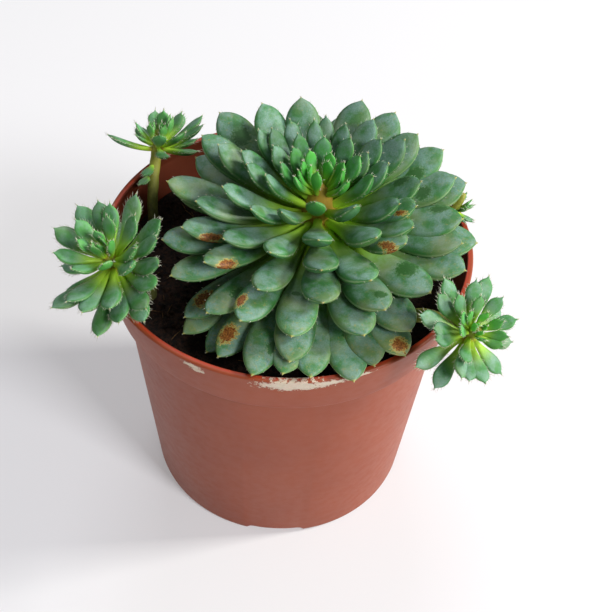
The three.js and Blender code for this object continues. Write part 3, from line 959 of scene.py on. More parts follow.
def wounded_skin(material, facts, skin):
    """Corky brown wounds with a paler rim, and bruises as dark green stains."""
    away = add(material, "ShaderNodeCombineXYZ", {
        "X": facts["scar_across"], "Y": facts["scar_along"],
    })
    distance = add(material, "ShaderNodeVectorMath", {0: away}, operation="LENGTH")
    ragged = add(material, "ShaderNodeMath", {
        0: facts["specks"], 1: RAGGED, 2: distance.outputs["Value"],
    }, operation="MULTIPLY_ADD")
    flaked = add(material, "ShaderNodeMapRange", {
        "Value": facts["powder"], "From Min": 0.38, "From Max": 0.62,
    })
    cork = add(material, "ShaderNodeMix", {
        "Factor": flaked, "A": colour("#4e260c"), "B": colour("#a56a2e"),
    }, data_type="RGBA")
    layers = (
        (WOUND_RIM, colour("#b3a95c"), colour("#4c7547")),
        (WOUND_CORE, cork, colour("#315c2c")),
    )
    for (full, gone), healed, bruised in layers:
        share = add(material, "ShaderNodeMapRange", {
            "Value": ragged, "From Min": full, "From Max": gone, "To Min": 1.0, "To Max": 0.0,
        })
        tint = add(material, "ShaderNodeMix", {
            "Factor": facts["scar_kind"], "A": healed, "B": bruised,
        }, data_type="RGBA")
        skin = add(material, "ShaderNodeMix", {
            "Factor": share, "A": skin, "B": tint,
        }, data_type="RGBA")
    return skin


print("a wound's rim fades out over", round(WOUND_RIM[1] - WOUND_RIM[0], 2), "of its size")

# %% Leaf material
def leaf_material(name, young, grown, bloom, root, stem_end):
    """Succulent leaf: tissue and bloom, marks of age, root, margin and tip, and wounds."""
    material = new_material(name)
    facts = leaf_facts(material)
    skin = bloomed_skin(material, facts, young, grown, bloom)
    skin = aged_skin(material, facts, skin)
    skin = ended_skin(material, facts, skin, root, stem_end)
    skin = wounded_skin(material, facts, skin)

    # Each leaf is a little lighter or darker than the next.
    tone = add(material, "ShaderNodeMapRange", {
        "Value": facts["tone"], "To Min": 0.86, "To Max": 1.22,
    })
    skin = add(material, "ShaderNodeMix", {
        "Factor": 1.0, "A": skin, "B": tone,
    }, data_type="RGBA", blend_type="MULTIPLY")
    height = add(material, "ShaderNodeMath", {
        0: facts["patches"], 1: facts["powder"],
    }, operation="ADD")
    bump = add(material, "ShaderNodeBump", {
        "Height": height, "Strength": 0.25, "Distance": 0.0004,
    })
    surface = add(material, "ShaderNodeBsdfPrincipled", {
        "Base Color": skin,
        "Roughness": 0.48,
        "IOR": 1.42,
        "Subsurface Weight": 0.15,
        "Subsurface Radius": (0.6, 1.0, 0.25),
        "Subsurface Scale": 0.0015,
        "Normal": bump,
    })
    add(material, "ShaderNodeOutputMaterial", {"Surface": surface})
    return material


grown_leaf = leaf_material(
    "waxy_leaf", young="#48a637", grown="#2f6d2a", bloom="#7a9791", root="#9cc636",
    stem_end="#b99532",
)
offset_leaf = leaf_material(
    "young_waxy_leaf", young="#55b03a", grown="#3a7f35", bloom="#7a9c8b", root="#aed43a",
    stem_end="#c29a2c",
)
print("leaf materials:", grown_leaf.name, offset_leaf.name)

# %% [markdown]
# ## The leaves as meshes
#
# A plant could have an object for each leaf. Its leaves are joined in one mesh here, as they
# grow from one stem and nothing ever moves one by itself. Each mesh, with its stem, takes
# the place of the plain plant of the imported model.

# %% Leaf pieces
settle(leaves_piece("rosette_leaves", rosette_leaves), grown_leaf, ["rosette"])
for name, offset in OFFSETS.items():
    piece = leaves_piece(f"{name}_leaves", offset["leaves"])
    settle(piece, offset_leaf, [name])

# %% [markdown]
# ## Stems
#
# A stem is a tube of living tissue that thins out into the heart. Old leaf scars make its
# skin knobbly. It could be a bevelled curve, but the ring skin that makes the leaves gives
# a closed mesh at once, and its rings can follow the bend of an offset over the rim. A stem
# is given by stations: a middle point and a radius at each.

# %% Stem shape
STEM_SIDES = 20
ROSETTE_FOOT_RADIUS = 5.2
ROSETTE_FOOT_DEPTH = 9
OFFSET_FOOT_DEPTH = 6
ROSETTE_STRAIGHT = 4
OFFSET_STRAIGHT = 2
KNOB_SHARE = 0.1


def stem_piece(name, stations):
    """A tube through stations of (point, radius), knobbly where leaves have been."""
    centres = np.array([point for point, _ in stations], float)
    radii = np.array([radius for _, radius in stations], float)
    distance = np.r_[0, np.cumsum(np.linalg.norm(np.diff(centres, axis=0), axis=1))]
    fine = np.linspace(0, distance[-1], max(12, int(distance[-1])))
    middle = np.column_stack([np.interp(fine, distance, centres[:, k]) for k in range(3)])
    radius = np.interp(fine, distance, radii)
    points, place = [middle[0]], [(0, 0, 0)]
    ways = np.gradient(middle, axis=0)
    for centre, way, reach, run in zip(middle, ways, radius, fine):
        across = unit(np.array([1.0, 0, 0]) - unit(way) * unit(way)[0])
        over = np.cross(unit(way), across)
        for corner in range(STEM_SIDES):
            turn = 2 * math.pi * corner / STEM_SIDES
            outward = across * math.cos(turn) + over * math.sin(turn)
            knob = noise.noise(Vector(outward * 1.7) + Vector((0, 0, run * 0.5)))
            points.append(centre + outward * reach * (1 + KNOB_SHARE * knob))
            place.append((run / fine[-1], 0, 0))
    points.append(middle[-1])
    place.append((1, 0, 0))
    faces = ring_faces(len(fine), STEM_SIDES, 0)
    return mesh_piece(name, points, faces, {"place": place})


print("a stem has", STEM_SIDES, "sides")

# %% Stem stations
# Heights over the base with the radius there, and for an offset with the share of its radius.
ROSETTE_STEM = [(0, 5.4), (6, 4.8), (11, 3.4), (14.5, 1.9), (16.5, 0.8)]
OFFSET_HEART = [(4, 0.8), (6, 0.4)]
BEND_STEPS = 10


def offset_stem_stations(offset):
    """Up out of the soil, over the rim in one bend, and into the heart."""
    foot = Vector((*offset["foot"], SOIL_LEVEL + OFFSET_STRAIGHT))
    base = Vector(offset["base"])
    bend = Vector(offset["bend"])
    radius = offset["stem_radius"]
    stations = [((foot.x, foot.y, SOIL_LEVEL - OFFSET_FOOT_DEPTH), radius)]
    for step in range(BEND_STEPS + 1):
        share = step / BEND_STEPS
        at = foot * (1 - share) ** 2 + bend * 2 * share * (1 - share) + base * share ** 2
        stations.append((tuple(at), radius))
    for height, share in OFFSET_HEART:
        stations.append((place_on(offset["stem"], 0, 0, height), share * radius))
    return stations


def rosette_stem_stations():
    """Straight up out of the soil, then along the lean of the rosette into its heart."""
    drop = ROSETTE["base"][2] - SOIL_LEVEL
    foot_x = ROSETTE["base"][0]
    foot_y = ROSETTE["base"][1] + drop * math.tan(lean)
    stations = [
        ((foot_x, foot_y, SOIL_LEVEL - ROSETTE_FOOT_DEPTH), ROSETTE_FOOT_RADIUS),
        ((foot_x, foot_y, SOIL_LEVEL + ROSETTE_STRAIGHT), ROSETTE_FOOT_RADIUS),
    ]
    for height, radius in ROSETTE_STEM:
        stations.append((place_on(rosette_stem, 0, 0, height), radius))
    return stations


print("the big stem has", len(rosette_stem_stations()), "stations")

# %% [markdown]
# ## Stem skin
#
# Real material: stem tissue, as grown. The big stem is brown and dry near the soil, and
# ochre where the newest leaves leave it. The stems of the offsets are olive, and
# yellow-green above. The colours could follow the height over the soil, but a stem bends, so
# they follow how far along the stem a point lies.

# %% Stem material
def stem_material(name, low, high):
    """Stem skin that goes from one colour to the other, mottled at about a millimetre."""
    material = new_material(name)
    place = add(material, "ShaderNodeAttribute", attribute_name="place")
    where = add(material, "ShaderNodeSeparateXYZ", {"Vector": place.outputs["Vector"]})
    position = add(material, "ShaderNodeTexCoord")
    mottle = add(material, "ShaderNodeTexNoise", {
        "Vector": position.outputs["Object"], "Scale": 900, "Detail": 3,
    })
    height = add(material, "ShaderNodeMath", {0: mottle, 1: 0.35}, operation="MULTIPLY")
    raised = add(material, "ShaderNodeMath", {0: where.outputs[0], 1: height}, operation="ADD")
    share = add(material, "ShaderNodeMapRange", {
        "Value": raised, "From Min": 0.45, "From Max": 0.85,
    })
    skin = add(material, "ShaderNodeMix", {
        "Factor": share, "A": colour(low), "B": colour(high),
    }, data_type="RGBA")
    bump = add(material, "ShaderNodeBump", {
        "Height": mottle, "Strength": 0.4, "Distance": 0.0004,
    })
    surface = add(material, "ShaderNodeBsdfPrincipled", {
        "Base Color": skin,
        "Roughness": 0.55,
        "IOR": 1.42,
        "Subsurface Weight": 0.1,
        "Subsurface Radius": (1.0, 0.7, 0.2),
        "Subsurface Scale": 0.0015,
        "Normal": bump,
    })
    add(material, "ShaderNodeOutputMaterial", {"Surface": surface})
    return material


old_stem = stem_material("woody_stem", "#5b3a22", "#a98a34")
green_stem = stem_material("green_stem", "#55592a", "#8f9038")
print("stem materials:", old_stem.name, green_stem.name)

# %% Stem pieces
stem = stem_piece("rosette_stem", rosette_stem_stations())
settle(stem, old_stem, ["rosette"])
for name, offset in OFFSETS.items():
    stem = stem_piece(f"{name}_stem", offset_stem_stations(offset))
    settle(stem, green_stem, [name])

# %% [markdown]
# ## Hairs
#
# Soft white hairs, up to 1.7 mm long, fringe the outer two thirds of a leaf's edges and stand
# in a tuft at its tip. They are dense on young leaves and sparse on old ones. A particle
# system could grow them, but a hair that is modelled as a three-sided spike is a real part of
# the mesh. Real hairs are finer: these are 0.18 mm thick at the root, so that they show.

# %% Hair shape
HAIR_RADIUS = 0.09
FRINGE = (0.35, 0.99)
FRINGE_INSET = 0.97
FRINGE_SWAY = 0.245
FRINGE_LENGTHS = (0.45, 1)
GAP_CHANGE = (0.6, 1.4)
TUFT_HAIRS = 3
TUFT_SWAY = 0.5
TUFT_DEPTH = 0.4
TUFT_LENGTHS = (0.4, 0.8)


def leaf_hairs(leaf, rng, spacing, longest):
    """Root points, directions and lengths of the hairs on one leaf."""
    length, forward, side, normal = leaf_ways(leaf)
    hairs = []
    for edge in (-1, 1):
        along = FRINGE[0]
        while along < FRINGE[1]:
            blade = along / (1 - LEAF["point_length"] / length)
            half = leaf["width"] / 2 * float(width_share(min(blade, 1), leaf["pointed"]))
            arch = 4 * along * (1 - along) * leaf["curl"] * length
            at = leaf["root"] + forward * length * along - normal * arch
            at = at + side * edge * half * FRINGE_INSET
            sway = rng.normal(0, FRINGE_SWAY, 3)
            way = unit(side * edge * (1.1 - along) + forward * (along + 0.1) + sway)
            hair = longest * rng.uniform(*FRINGE_LENGTHS) * (0.5 + 0.5 * along)
            hairs.append((at, way, hair))
            along += spacing / length * rng.uniform(*GAP_CHANGE)
    for _ in range(TUFT_HAIRS):
        way = unit(forward + rng.normal(0, TUFT_SWAY, 3))
        at = leaf["tip"] - forward * TUFT_DEPTH
        hairs.append((at, way, longest * rng.uniform(*TUFT_LENGTHS)))
    return hairs


# A way that no hair points along, to measure its sides from.
ASKEW = (0.3, 0.5, 0.81)


def hairs_piece(name, hairs):
    """One mesh of three-sided spikes."""
    points, faces = [], []
    for at, way, length in hairs:
        first = len(points)
        across = unit(np.cross(way, ASKEW))
        over = np.cross(way, across)
        for corner in range(3):
            turn = 2 * math.pi * corner / 3
            outward = across * math.cos(turn) + over * math.sin(turn)
            points.append(at + outward * HAIR_RADIUS)
        points.append(at + way * length)
        faces.append((first + 2, first + 1, first))
        for corner in range(3):
            faces.append((first + corner, first + (corner + 1) % 3, first + 3))
    return mesh_piece(name, points, faces)


print("a hair is", 2 * HAIR_RADIUS, "mm thick at its root")

# %% [markdown]
# ## What a hair is made of
#
# Real material: clear plant cells, as grown, that scatter light like frost. They read as
# white against the leaf, and let some light through. A glass shader could do that, but at this
# size a pale shader that is one fifth see-through is enough.

# %% Hair material
def hair_material():
    """Pale hair, with a tint that changes every few millimetres."""
    material = new_material("plant_hair")
    position = add(material, "ShaderNodeTexCoord")
    tint = add(material, "ShaderNodeTexNoise", {
        "Vector": position.outputs["Object"], "Scale": 400, "Detail": 1,
    })
    shade = add(material, "ShaderNodeMix", {
        "Factor": tint, "A": colour("#b9bf9a"), "B": colour("#f1f1e4"),
    }, data_type="RGBA")
    surface = add(material, "ShaderNodeBsdfPrincipled", {
        "Base Color": shade, "Roughness": 0.5, "IOR": 1.5, "Alpha": 0.8,
    })
    add(material, "ShaderNodeOutputMaterial", {"Surface": surface})
    return material


plant_hair = hair_material()
print("hair material:", plant_hair.name)

# %% [markdown]
# ## The hairs as meshes
#
# One run of random draws goes through all leaves in order, so that each run of the script
# grows the same hairs. On the big rosette the gap between two hairs widens with a leaf's age
# and the hairs get shorter. The offsets are young all over. Lengths and gaps are in
# millimetres.

# %% Hair pieces
NEW_LEAF = {"gap": 0.45, "longest": 1.5}
AGED_BY = {"gap": 3, "longest": -0.7}
OFFSET_HAIR = {"gap": 0.6, "longest": 1.7}

rng = np.random.default_rng(5)
rosette_hairs = []
for leaf in rosette_leaves:
    gap = NEW_LEAF["gap"] + AGED_BY["gap"] * leaf["age"]
    longest = NEW_LEAF["longest"] + AGED_BY["longest"] * leaf["age"]
    rosette_hairs += leaf_hairs(leaf, rng, gap, longest)
settle(hairs_piece("rosette_hairs", rosette_hairs), plant_hair)
for name, offset in OFFSETS.items():
    offset_hairs = []
    for leaf in offset["leaves"]:
        offset_hairs += leaf_hairs(leaf, rng, OFFSET_HAIR["gap"], OFFSET_HAIR["longest"])
    settle(hairs_piece(f"{name}_hairs", offset_hairs), plant_hair)

# %% [markdown]
# ## The pot
#
# The pot is one moulding: a thin cone with a wider collar below the rim, a foot ring with
# four shallow gaps in it, and a floor with drain holes. It is round, so its outline is
# spun about the axis. The corners of the outline are rounded by short curves, because a
# moulded edge is never sharp and a rounded one catches the light. The gaps in the foot are
# made by lifting the lowest points, and the drain holes are cut.

# %% Pot measures
POT = {
    "collar_height": 14.5,
    "collar_low_radius": 49.6,
    "shoulder_radius": 47.0,
    "base_radius": 40.4,
    "wall": 1.3,
    "lip": 1.9,
    "lip_depth": 2.5,
    "floor": 1.5,
    "disc_radius": 23,
    "foot_inner_radius": 36,
    "channel_height": 2,
    "edge_round": 1.6,
    "small_round": 0.3,
    "channel_round": 0.4,
    "channel_slope": 1.5,
    "collar_round": 0.5,
    "rim_bevel": 0.4,
    "inner_step": 0.9,
}
POT_SIDES = 224
DRAIN = {"count": 6, "radius": 3.5, "ring_radius": 29.5, "cutter_height": 8}
NOTCH = {"count": 4, "width": 15, "slope": 1.5, "height": 1.6, "reach": 4, "inset": 1.5}
print("the wall of the pot is", POT["wall"], "mm thick, and", POT["lip"], "mm at the rim")

# %% Pot outline
def rounded(outline, steps=4):
    """Points of an outline of (radius, height, corner radius), its corners as curves."""
    points = []
    for index, (radius, height, corner) in enumerate(outline):
        here = Vector((radius, height))
        if corner == 0:
            points.append(here)
            continue
        before = Vector(outline[index - 1][:2]) - here
        after = Vector(outline[(index + 1) % len(outline)][:2]) - here
        start = here + before.normalized() * min(corner, before.length * 0.45)
        end = here + after.normalized() * min(corner, after.length * 0.45)
        for step in range(steps + 1):
            share = step / steps
            points.append(
                start * (1 - share) ** 2 + here * 2 * share * (1 - share) + end * share ** 2
            )
    return points


def pot_outline():
    """The section as (radius, height, corner radius): underside, outside, rim, inside."""
    shoulder = POT_HEIGHT - POT["collar_height"]
    raised = POT["channel_height"] + POT["floor"]
    inner_base = POT["base_radius"] - POT["wall"]
    mouth = RIM_RADIUS - POT["lip"]
    small = POT["small_round"]
    groove = POT["channel_round"]
    collar = POT["collar_round"]
    bevel = POT["rim_bevel"]
    return [
        (0, 0, 0),
        (POT["disc_radius"], 0, groove),
        (POT["disc_radius"] + POT["channel_slope"], POT["channel_height"], groove),
        (POT["foot_inner_radius"] - 1, POT["channel_height"], groove),
        (POT["foot_inner_radius"], 0, small),
        (POT["base_radius"], 0, POT["edge_round"]),
        (POT["shoulder_radius"], shoulder - 0.4, collar),
        (POT["collar_low_radius"] - 0.3, shoulder, small),
        (POT["collar_low_radius"], shoulder + 0.5, small),
        (RIM_RADIUS, POT_HEIGHT - bevel, small),
        (RIM_RADIUS - bevel, POT_HEIGHT, small),
        (mouth + 0.3, POT_HEIGHT, small),
        (mouth, POT_HEIGHT - bevel, small),
        (mouth, POT_HEIGHT - POT["lip_depth"], small),
        (RIM_RADIUS - POT["wall"] - POT["inner_step"], POT_HEIGHT - POT["lip_depth"] - 1, small),
        (POT["collar_low_radius"] - POT["wall"], shoulder + 2, collar),
        (POT["shoulder_radius"] - POT["wall"], shoulder - 0.5, collar),
        (inner_base, raised, POT["edge_round"]),
        (POT["disc_radius"] + 2, raised, small),
        (POT["disc_radius"], POT["floor"], small),
        (0, POT["floor"], 0),
    ]


print("the outline has", len(pot_outline()), "corners and", len(rounded(pot_outline())), "points")

# %% Spinning the outline
def notch_lift(turn):
    """How far the foot ring is lifted at a bearing in radians."""
    pitch_of_notches = 2 * math.pi / NOTCH["count"]
    off = (turn + pitch_of_notches / 2) % pitch_of_notches - pitch_of_notches / 2
    distance = abs(off) * POT["base_radius"]
    half = NOTCH["width"] / 2
    return NOTCH["height"] * (1 - smooth_step(distance, half, half + NOTCH["slope"]))


def spun_pot():
    """Points and faces of the outline spun about the axis, with the foot's gaps lifted."""
    outline = rounded(pot_outline())[1:-1]
    points = [(0, 0, 0)]
    for at in outline:
        for side in range(POT_SIDES):
            turn = 2 * math.pi * side / POT_SIDES
            height = at.y
            if at.x > POT["foot_inner_radius"] - NOTCH["inset"] and height < NOTCH["reach"]:
                lift = float(notch_lift(turn))
                height = lift + height * (NOTCH["reach"] - lift) / NOTCH["reach"]
            points.append((at.x * math.cos(turn), at.x * math.sin(turn), height))
    points.append((0, 0, POT["floor"]))
    return points, ring_faces(len(outline), POT_SIDES, 0)


pot_piece = mesh_piece("pot_shell", *spun_pot())
print("pot_shell is spun in", POT_SIDES, "steps")

# %% Drain holes
def cut_drain_holes(piece):
    """Takes the drain holes out of the floor."""
    cutters = []
    for index in range(DRAIN["count"]):
        turn = 2 * math.pi * (index + 0.5) / DRAIN["count"]
        bpy.ops.mesh.primitive_cylinder_add(
            vertices=32, radius=DRAIN["radius"] * MM, depth=DRAIN["cutter_height"] * MM,
            location=(
                DRAIN["ring_radius"] * math.cos(turn) * MM,
                DRAIN["ring_radius"] * math.sin(turn) * MM,
                (POT["channel_height"] + POT["floor"] / 2) * MM,
            ),
        )
        cutters.append(bpy.context.object)
    for cutter in cutters:
        cut = piece.modifiers.new("drain", "BOOLEAN")
        cut.operation = "DIFFERENCE"
        cut.solver = "EXACT"
        cut.object = cutter
    bpy.context.view_layer.objects.active = piece
    for cut in list(piece.modifiers):
        bpy.ops.object.modifier_apply(modifier=cut.name)
    for cutter in cutters:
        bpy.data.objects.remove(cutter)


cut_drain_holes(pot_piece)
print("pot_shell has", DRAIN["count"], "drain holes and", len(pot_piece.data.polygons), "faces")

# %% Places on the pot
def mark_pot(piece):
    """Stores where each point lies: mm round the rim from the front, below it, from the axis."""
    place = []
    for vertex in piece.data.vertices:
        x, y, z = vertex.co / MM
        place += [math.atan2(x, -y) * RIM_RADIUS, POT_HEIGHT - z, math.hypot(x, y)]
    attribute = piece.data.attributes.new("place", "FLOAT_VECTOR", "POINT")
    attribute.data.foreach_set("vector", place)


mark_pot(pot_piece)
print("half way round the rim is", round(math.pi * RIM_RADIUS), "mm")

# %% [markdown]
# ## Pot plastic
#
# Real material: polypropylene coloured terracotta brown, injection moulded. It is a little
# translucent, so the thin rim glows red where light comes through, and the inner edge of the
# rim is also painted redder, as a painted glow. It has a dull gloss with scuffs. IOR is 1.49.
# The inside of the wall is painted darker, as painted shade. Hard water has left a
# cream-white crust of lime on the collar in front. The crust could be a random pattern, but
# it is drawn where it lies, by the distance round the rim and down from it, with a ragged
# edge from noise.

# %% Pot facts
def pot_facts(material):
    """What the material knows about a point of the pot: its place and its patterns."""
    stored = add(material, "ShaderNodeAttribute", attribute_name="place")
    place = stored.outputs["Vector"]
    split = add(material, "ShaderNodeSeparateXYZ", {"Vector": place})
    facts = dict(zip(("round_rim", "below_rim", "radius"), split.outputs))
    facts["position"] = add(material, "ShaderNodeTexCoord").outputs["Object"]

    # Clouds of pigment are 2 cm wide. Lime has crumbs of a millimetre. Scuffs are a few
    # millimetres long, and run round the pot more than down it.
    facts["clouds"] = add(material, "ShaderNodeTexNoise", {
        "Vector": facts["position"], "Scale": 50, "Detail": 3,
    })
    facts["crumbs"] = add(material, "ShaderNodeTexNoise", {
        "Vector": place, "Scale": 0.9, "Detail": 6, "Roughness": 0.75,
    })
    stretched = add(material, "ShaderNodeMapping", {
        "Vector": place, "Scale": (0.35, 0.6, 0.3),
    })
    facts["scuffs"] = add(material, "ShaderNodeTexNoise", {
        "Vector": stretched, "Scale": 0.8, "Detail": 4, "Roughness": 0.6,
    })
    return facts


print("the inner edge of the rim lies", RIM_RADIUS - POT["lip"], "mm from the axis")

# %% Plastic, painted rim glow and painted inner shade
def pot_plastic(material, facts):
    """Clouded pigment, a redder inner lip painted as the glow of light through the thin rim, and
    painted shade on the inside of the wall.
    """
    body = add(material, "ShaderNodeMix", {
        "Factor": facts["clouds"], "A": colour("#863b20"), "B": colour("#984827"),
    }, data_type="RGBA")
    # The inner edge of the rim is mixed towards red: a painted glow of light through the thin
    # plastic.
    top_edge = add(material, "ShaderNodeMapRange", {
        "Value": facts["below_rim"], "From Min": 0.2, "From Max": 0.5,
        "To Min": 1.0, "To Max": 0.0,
    })
    inner_edge = add(material, "ShaderNodeMapRange", {
        "Value": facts["radius"], "From Min": RIM_RADIUS - 1.1, "From Max": RIM_RADIUS - 0.5,
        "To Min": 1.0, "To Max": 0.0,
    })
    lip = add(material, "ShaderNodeMath", {0: top_edge, 1: inner_edge}, operation="MULTIPLY")

    # A face looks inwards if its normal points against the way from the axis.
    facing = add(material, "ShaderNodeNewGeometry")
    from_axis = add(material, "ShaderNodeVectorMath", {
        0: facts["position"], 1: (1, 1, 0),
    }, operation="MULTIPLY")
    outward = add(material, "ShaderNodeVectorMath", {
        0: facing.outputs["Normal"], 1: from_axis,
    }, operation="DOT_PRODUCT")
    # Inward faces are mixed towards dark brown: painted shade on the inner wall.
    inside = add(material, "ShaderNodeMapRange", {
        "Value": outward.outputs["Value"], "From Min": -0.03, "From Max": -0.005,
        "To Min": 0.75, "To Max": 0.0,
    })
    for share, tint in ((lip, "#a2381d"), (inside, "#4d2114")):
        body = add(material, "ShaderNodeMix", {
            "Factor": share, "A": body, "B": colour(tint),
        }, data_type="RGBA")
    return body


print("the inner wall is", POT["shoulder_radius"] - POT["wall"], "mm from the axis below the collar")

# %% Lime
# Each patch: its middle round the rim from the front and below the rim, then half its length
# and half its depth, in millimetres.
LIME_PATCHES = [
    (3, 2.0, 10, 2.3),
    (12, 1.4, 6, 1.1),
    (-24, 1.7, 3, 0.9),
    (-22.5, 3.1, 2.2, 0.8),
    (20, 0.7, 5, 0.5),
]
LIME_EDGE = (2.3, 2.5)
LIME_RAGGED = 3.0


def lime_patch(material, facts, centre, depth, half_length, half_depth):
    """The share of lime in one patch: full in the middle, gone past a ragged edge."""
    away = add(material, "ShaderNodeMath", {
        0: facts["round_rim"], 1: centre,
    }, operation="SUBTRACT")
    away = add(material, "ShaderNodeMath", {0: away, 1: half_length}, operation="DIVIDE")
    under = add(material, "ShaderNodeMath", {
        0: facts["below_rim"], 1: depth,
    }, operation="SUBTRACT")
    under = add(material, "ShaderNodeMath", {0: under, 1: half_depth}, operation="DIVIDE")
    far = add(material, "ShaderNodeCombineXYZ", {"X": away, "Y": under})
    far = add(material, "ShaderNodeVectorMath", {0: far}, operation="LENGTH")
    edge = add(material, "ShaderNodeMath", {
        0: facts["crumbs"], 1: LIME_RAGGED, 2: far.outputs["Value"],
    }, operation="MULTIPLY_ADD")
    return add(material, "ShaderNodeMapRange", {
        "Value": edge, "From Min": LIME_EDGE[0], "From Max": LIME_EDGE[1],
        "To Min": 0.88, "To Max": 0.0,
    })


def lime_cover(material, facts):
    """The share of lime on the pot. It lies on the outside, in front."""
    lime = lime_patch(material, facts, *LIME_PATCHES[0])
    for measures in LIME_PATCHES[1:]:
        patch = lime_patch(material, facts, *measures)
        lime = add(material, "ShaderNodeMath", {0: lime, 1: patch}, operation="MAXIMUM")
    outer = add(material, "ShaderNodeMapRange", {
        "Value": facts["radius"], "From Min": RIM_RADIUS - 2.2, "From Max": RIM_RADIUS - 1.6,
    })
    # The distance round the rim jumps at the back, so the lime is kept to the front half.
    parted = add(material, "ShaderNodeSeparateXYZ", {"Vector": facts["position"]})
    in_front = add(material, "ShaderNodeMath", {
        0: parted.outputs["Y"], 1: 0,
    }, operation="LESS_THAN")
    for share in (outer, in_front):
        lime = add(material, "ShaderNodeMath", {0: lime, 1: share}, operation="MULTIPLY")
    return lime


print("patches of lime:", len(LIME_PATCHES))

# %% Pot material
def pot_material():
    """Terracotta-brown polypropylene, scuffed, with lime that is dull and stands proud."""
    material = new_material("terracotta_polypropylene")
    facts = pot_facts(material)
    body = pot_plastic(material, facts)
    lime = lime_cover(material, facts)
    crust = add(material, "ShaderNodeMix", {
        "Factor": facts["crumbs"], "A": colour("#b9a78c"), "B": colour("#f0e8d6"),
    }, data_type="RGBA")
    limed = add(material, "ShaderNodeMix", {
        "Factor": lime, "A": body, "B": crust,
    }, data_type="RGBA")

    scuffed = add(material, "ShaderNodeMapRange", {
        "Value": facts["scuffs"], "From Min": 0.4, "From Max": 0.75,
        "To Min": 0.44, "To Max": 0.54,
    })
    dull = add(material, "ShaderNodeMath", {
        0: lime, 1: 0.4, 2: scuffed,
    }, operation="MULTIPLY_ADD")
    raised = add(material, "ShaderNodeMath", {
        0: lime, 1: facts["crumbs"],
    }, operation="MULTIPLY")
    height = add(material, "ShaderNodeMath", {
        0: facts["scuffs"], 1: 0.008, 2: raised,
    }, operation="MULTIPLY_ADD")
    bump = add(material, "ShaderNodeBump", {
        "Height": height, "Strength": 0.5, "Distance": 0.0006,
    })
    surface = add(material, "ShaderNodeBsdfPrincipled", {
        "Base Color": limed,
        "Roughness": dull,
        "IOR": 1.49,
        "Specular IOR Level": 0.35,
        "Subsurface Weight": 0.2,
        "Subsurface Radius": (1.0, 0.25, 0.12),
        "Subsurface Scale": 0.0012,
        "Normal": bump,
    })
    add(material, "ShaderNodeOutputMaterial", {"Surface": surface})
    return material


settle(pot_piece, pot_material(), ["pot"])

# %% [markdown]
# ## The soil
#
# Peat soil is a heap of dark crumbs and fibres. Its surface is a fine disc whose points are
# lifted by noise at three sizes. A sculpted or displaced plane would look the same, but a
# formula gives the height at any place, and loose crumbs can then be set on it. The fill
# below follows the inside of the pot, because it shows through the drain holes.

# %% Soil shape
SOIL_SIDES = 180
SOIL_GAP = 0.3
TOP_RINGS = 76
EDGE_DROP = 1.2
EDGE_INSET = 0.8
SMALLEST_RING = 0.6
# Waves of the surface: how many in a millimetre, a shift of the noise, and height in mm.
SOIL_WAVES = [
    (0.09, (0, 0, 0), 0.9),
    (0.35, (7, 0, 0), 0.6),
    (1.3, (0, 9, 0), 0.35),
]


def soil_height(x, y):
    """Height of the soil over its level."""
    at = Vector((x, y, 0))
    return sum(noise.noise(at * often + Vector(shift)) * high for often, shift, high in SOIL_WAVES)


def soil_wall():
    """Radius and height of the fill from its edge down to the middle of its underside."""
    shoulder = POT_HEIGHT - POT["collar_height"]
    wall = POT["wall"] + SOIL_GAP
    raised = POT["channel_height"] + POT["floor"] + SOIL_GAP
    slope = (RIM_RADIUS - POT["collar_low_radius"]) / POT["collar_height"]
    at_level = RIM_RADIUS - wall - POT["inner_step"] - slope * SOIL_BELOW_RIM
    return at_level, [
        (at_level, SOIL_LEVEL - EDGE_DROP),
        (POT["collar_low_radius"] - wall, shoulder + 2),
        (POT["shoulder_radius"] - wall, shoulder - 0.5),
        (POT["base_radius"] - wall, raised + POT["edge_round"]),
        (POT["base_radius"] - wall - POT["edge_round"], raised),
        (POT["disc_radius"] + 2, raised),
        (POT["disc_radius"], POT["floor"] + SOIL_GAP),
    ]


def soil_fill():
    """The closed body of soil, from the middle of its underside to the middle on top."""
    edge, wall = soil_wall()
    rings = list(reversed(wall)) + [
        (radius, None) for radius in np.linspace(edge - EDGE_INSET, SMALLEST_RING, TOP_RINGS)
    ]
    points = [(0, 0, POT["floor"] + SOIL_GAP)]
    for radius, height in rings:
        for side in range(SOIL_SIDES):
            turn = 2 * math.pi * side / SOIL_SIDES
            x, y = radius * math.cos(turn), radius * math.sin(turn)
            points.append((x, y, SOIL_LEVEL + soil_height(x, y) if height is None else height))
    points.append((0, 0, SOIL_LEVEL + soil_height(0, 0)))
    return points, ring_faces(len(rings), SOIL_SIDES, 0), edge


soil_points, soil_faces, soil_edge = soil_fill()
soil_piece = mesh_piece("soil_fill", soil_points, soil_faces)
print(f"the soil is {2 * soil_edge:.1f} mm across on top")

# %% [markdown]
# ## Loose crumbs
#
# Nine hundred loose crumbs lie on the soil, each a small lump that is sunk by half. A few
# lumps could be copied all over, but then the eye finds the copies, so each one is a ball of
# twelve points that are pushed in or out at random.

# %% Soil crumbs
CRUMBS = 900
CRUMB_SIZE = (0.3, 1.3)
CLEAR_OF_WALL = 1.5


def scatter(rng, edge):
    """A random point on the soil, and its height."""
    reach = (edge - CLEAR_OF_WALL) * math.sqrt(rng.uniform())
    turn = rng.uniform(0, 2 * math.pi)
    x, y = reach * math.cos(turn), reach * math.sin(turn)
    return np.array([x, y, SOIL_LEVEL + soil_height(x, y)])


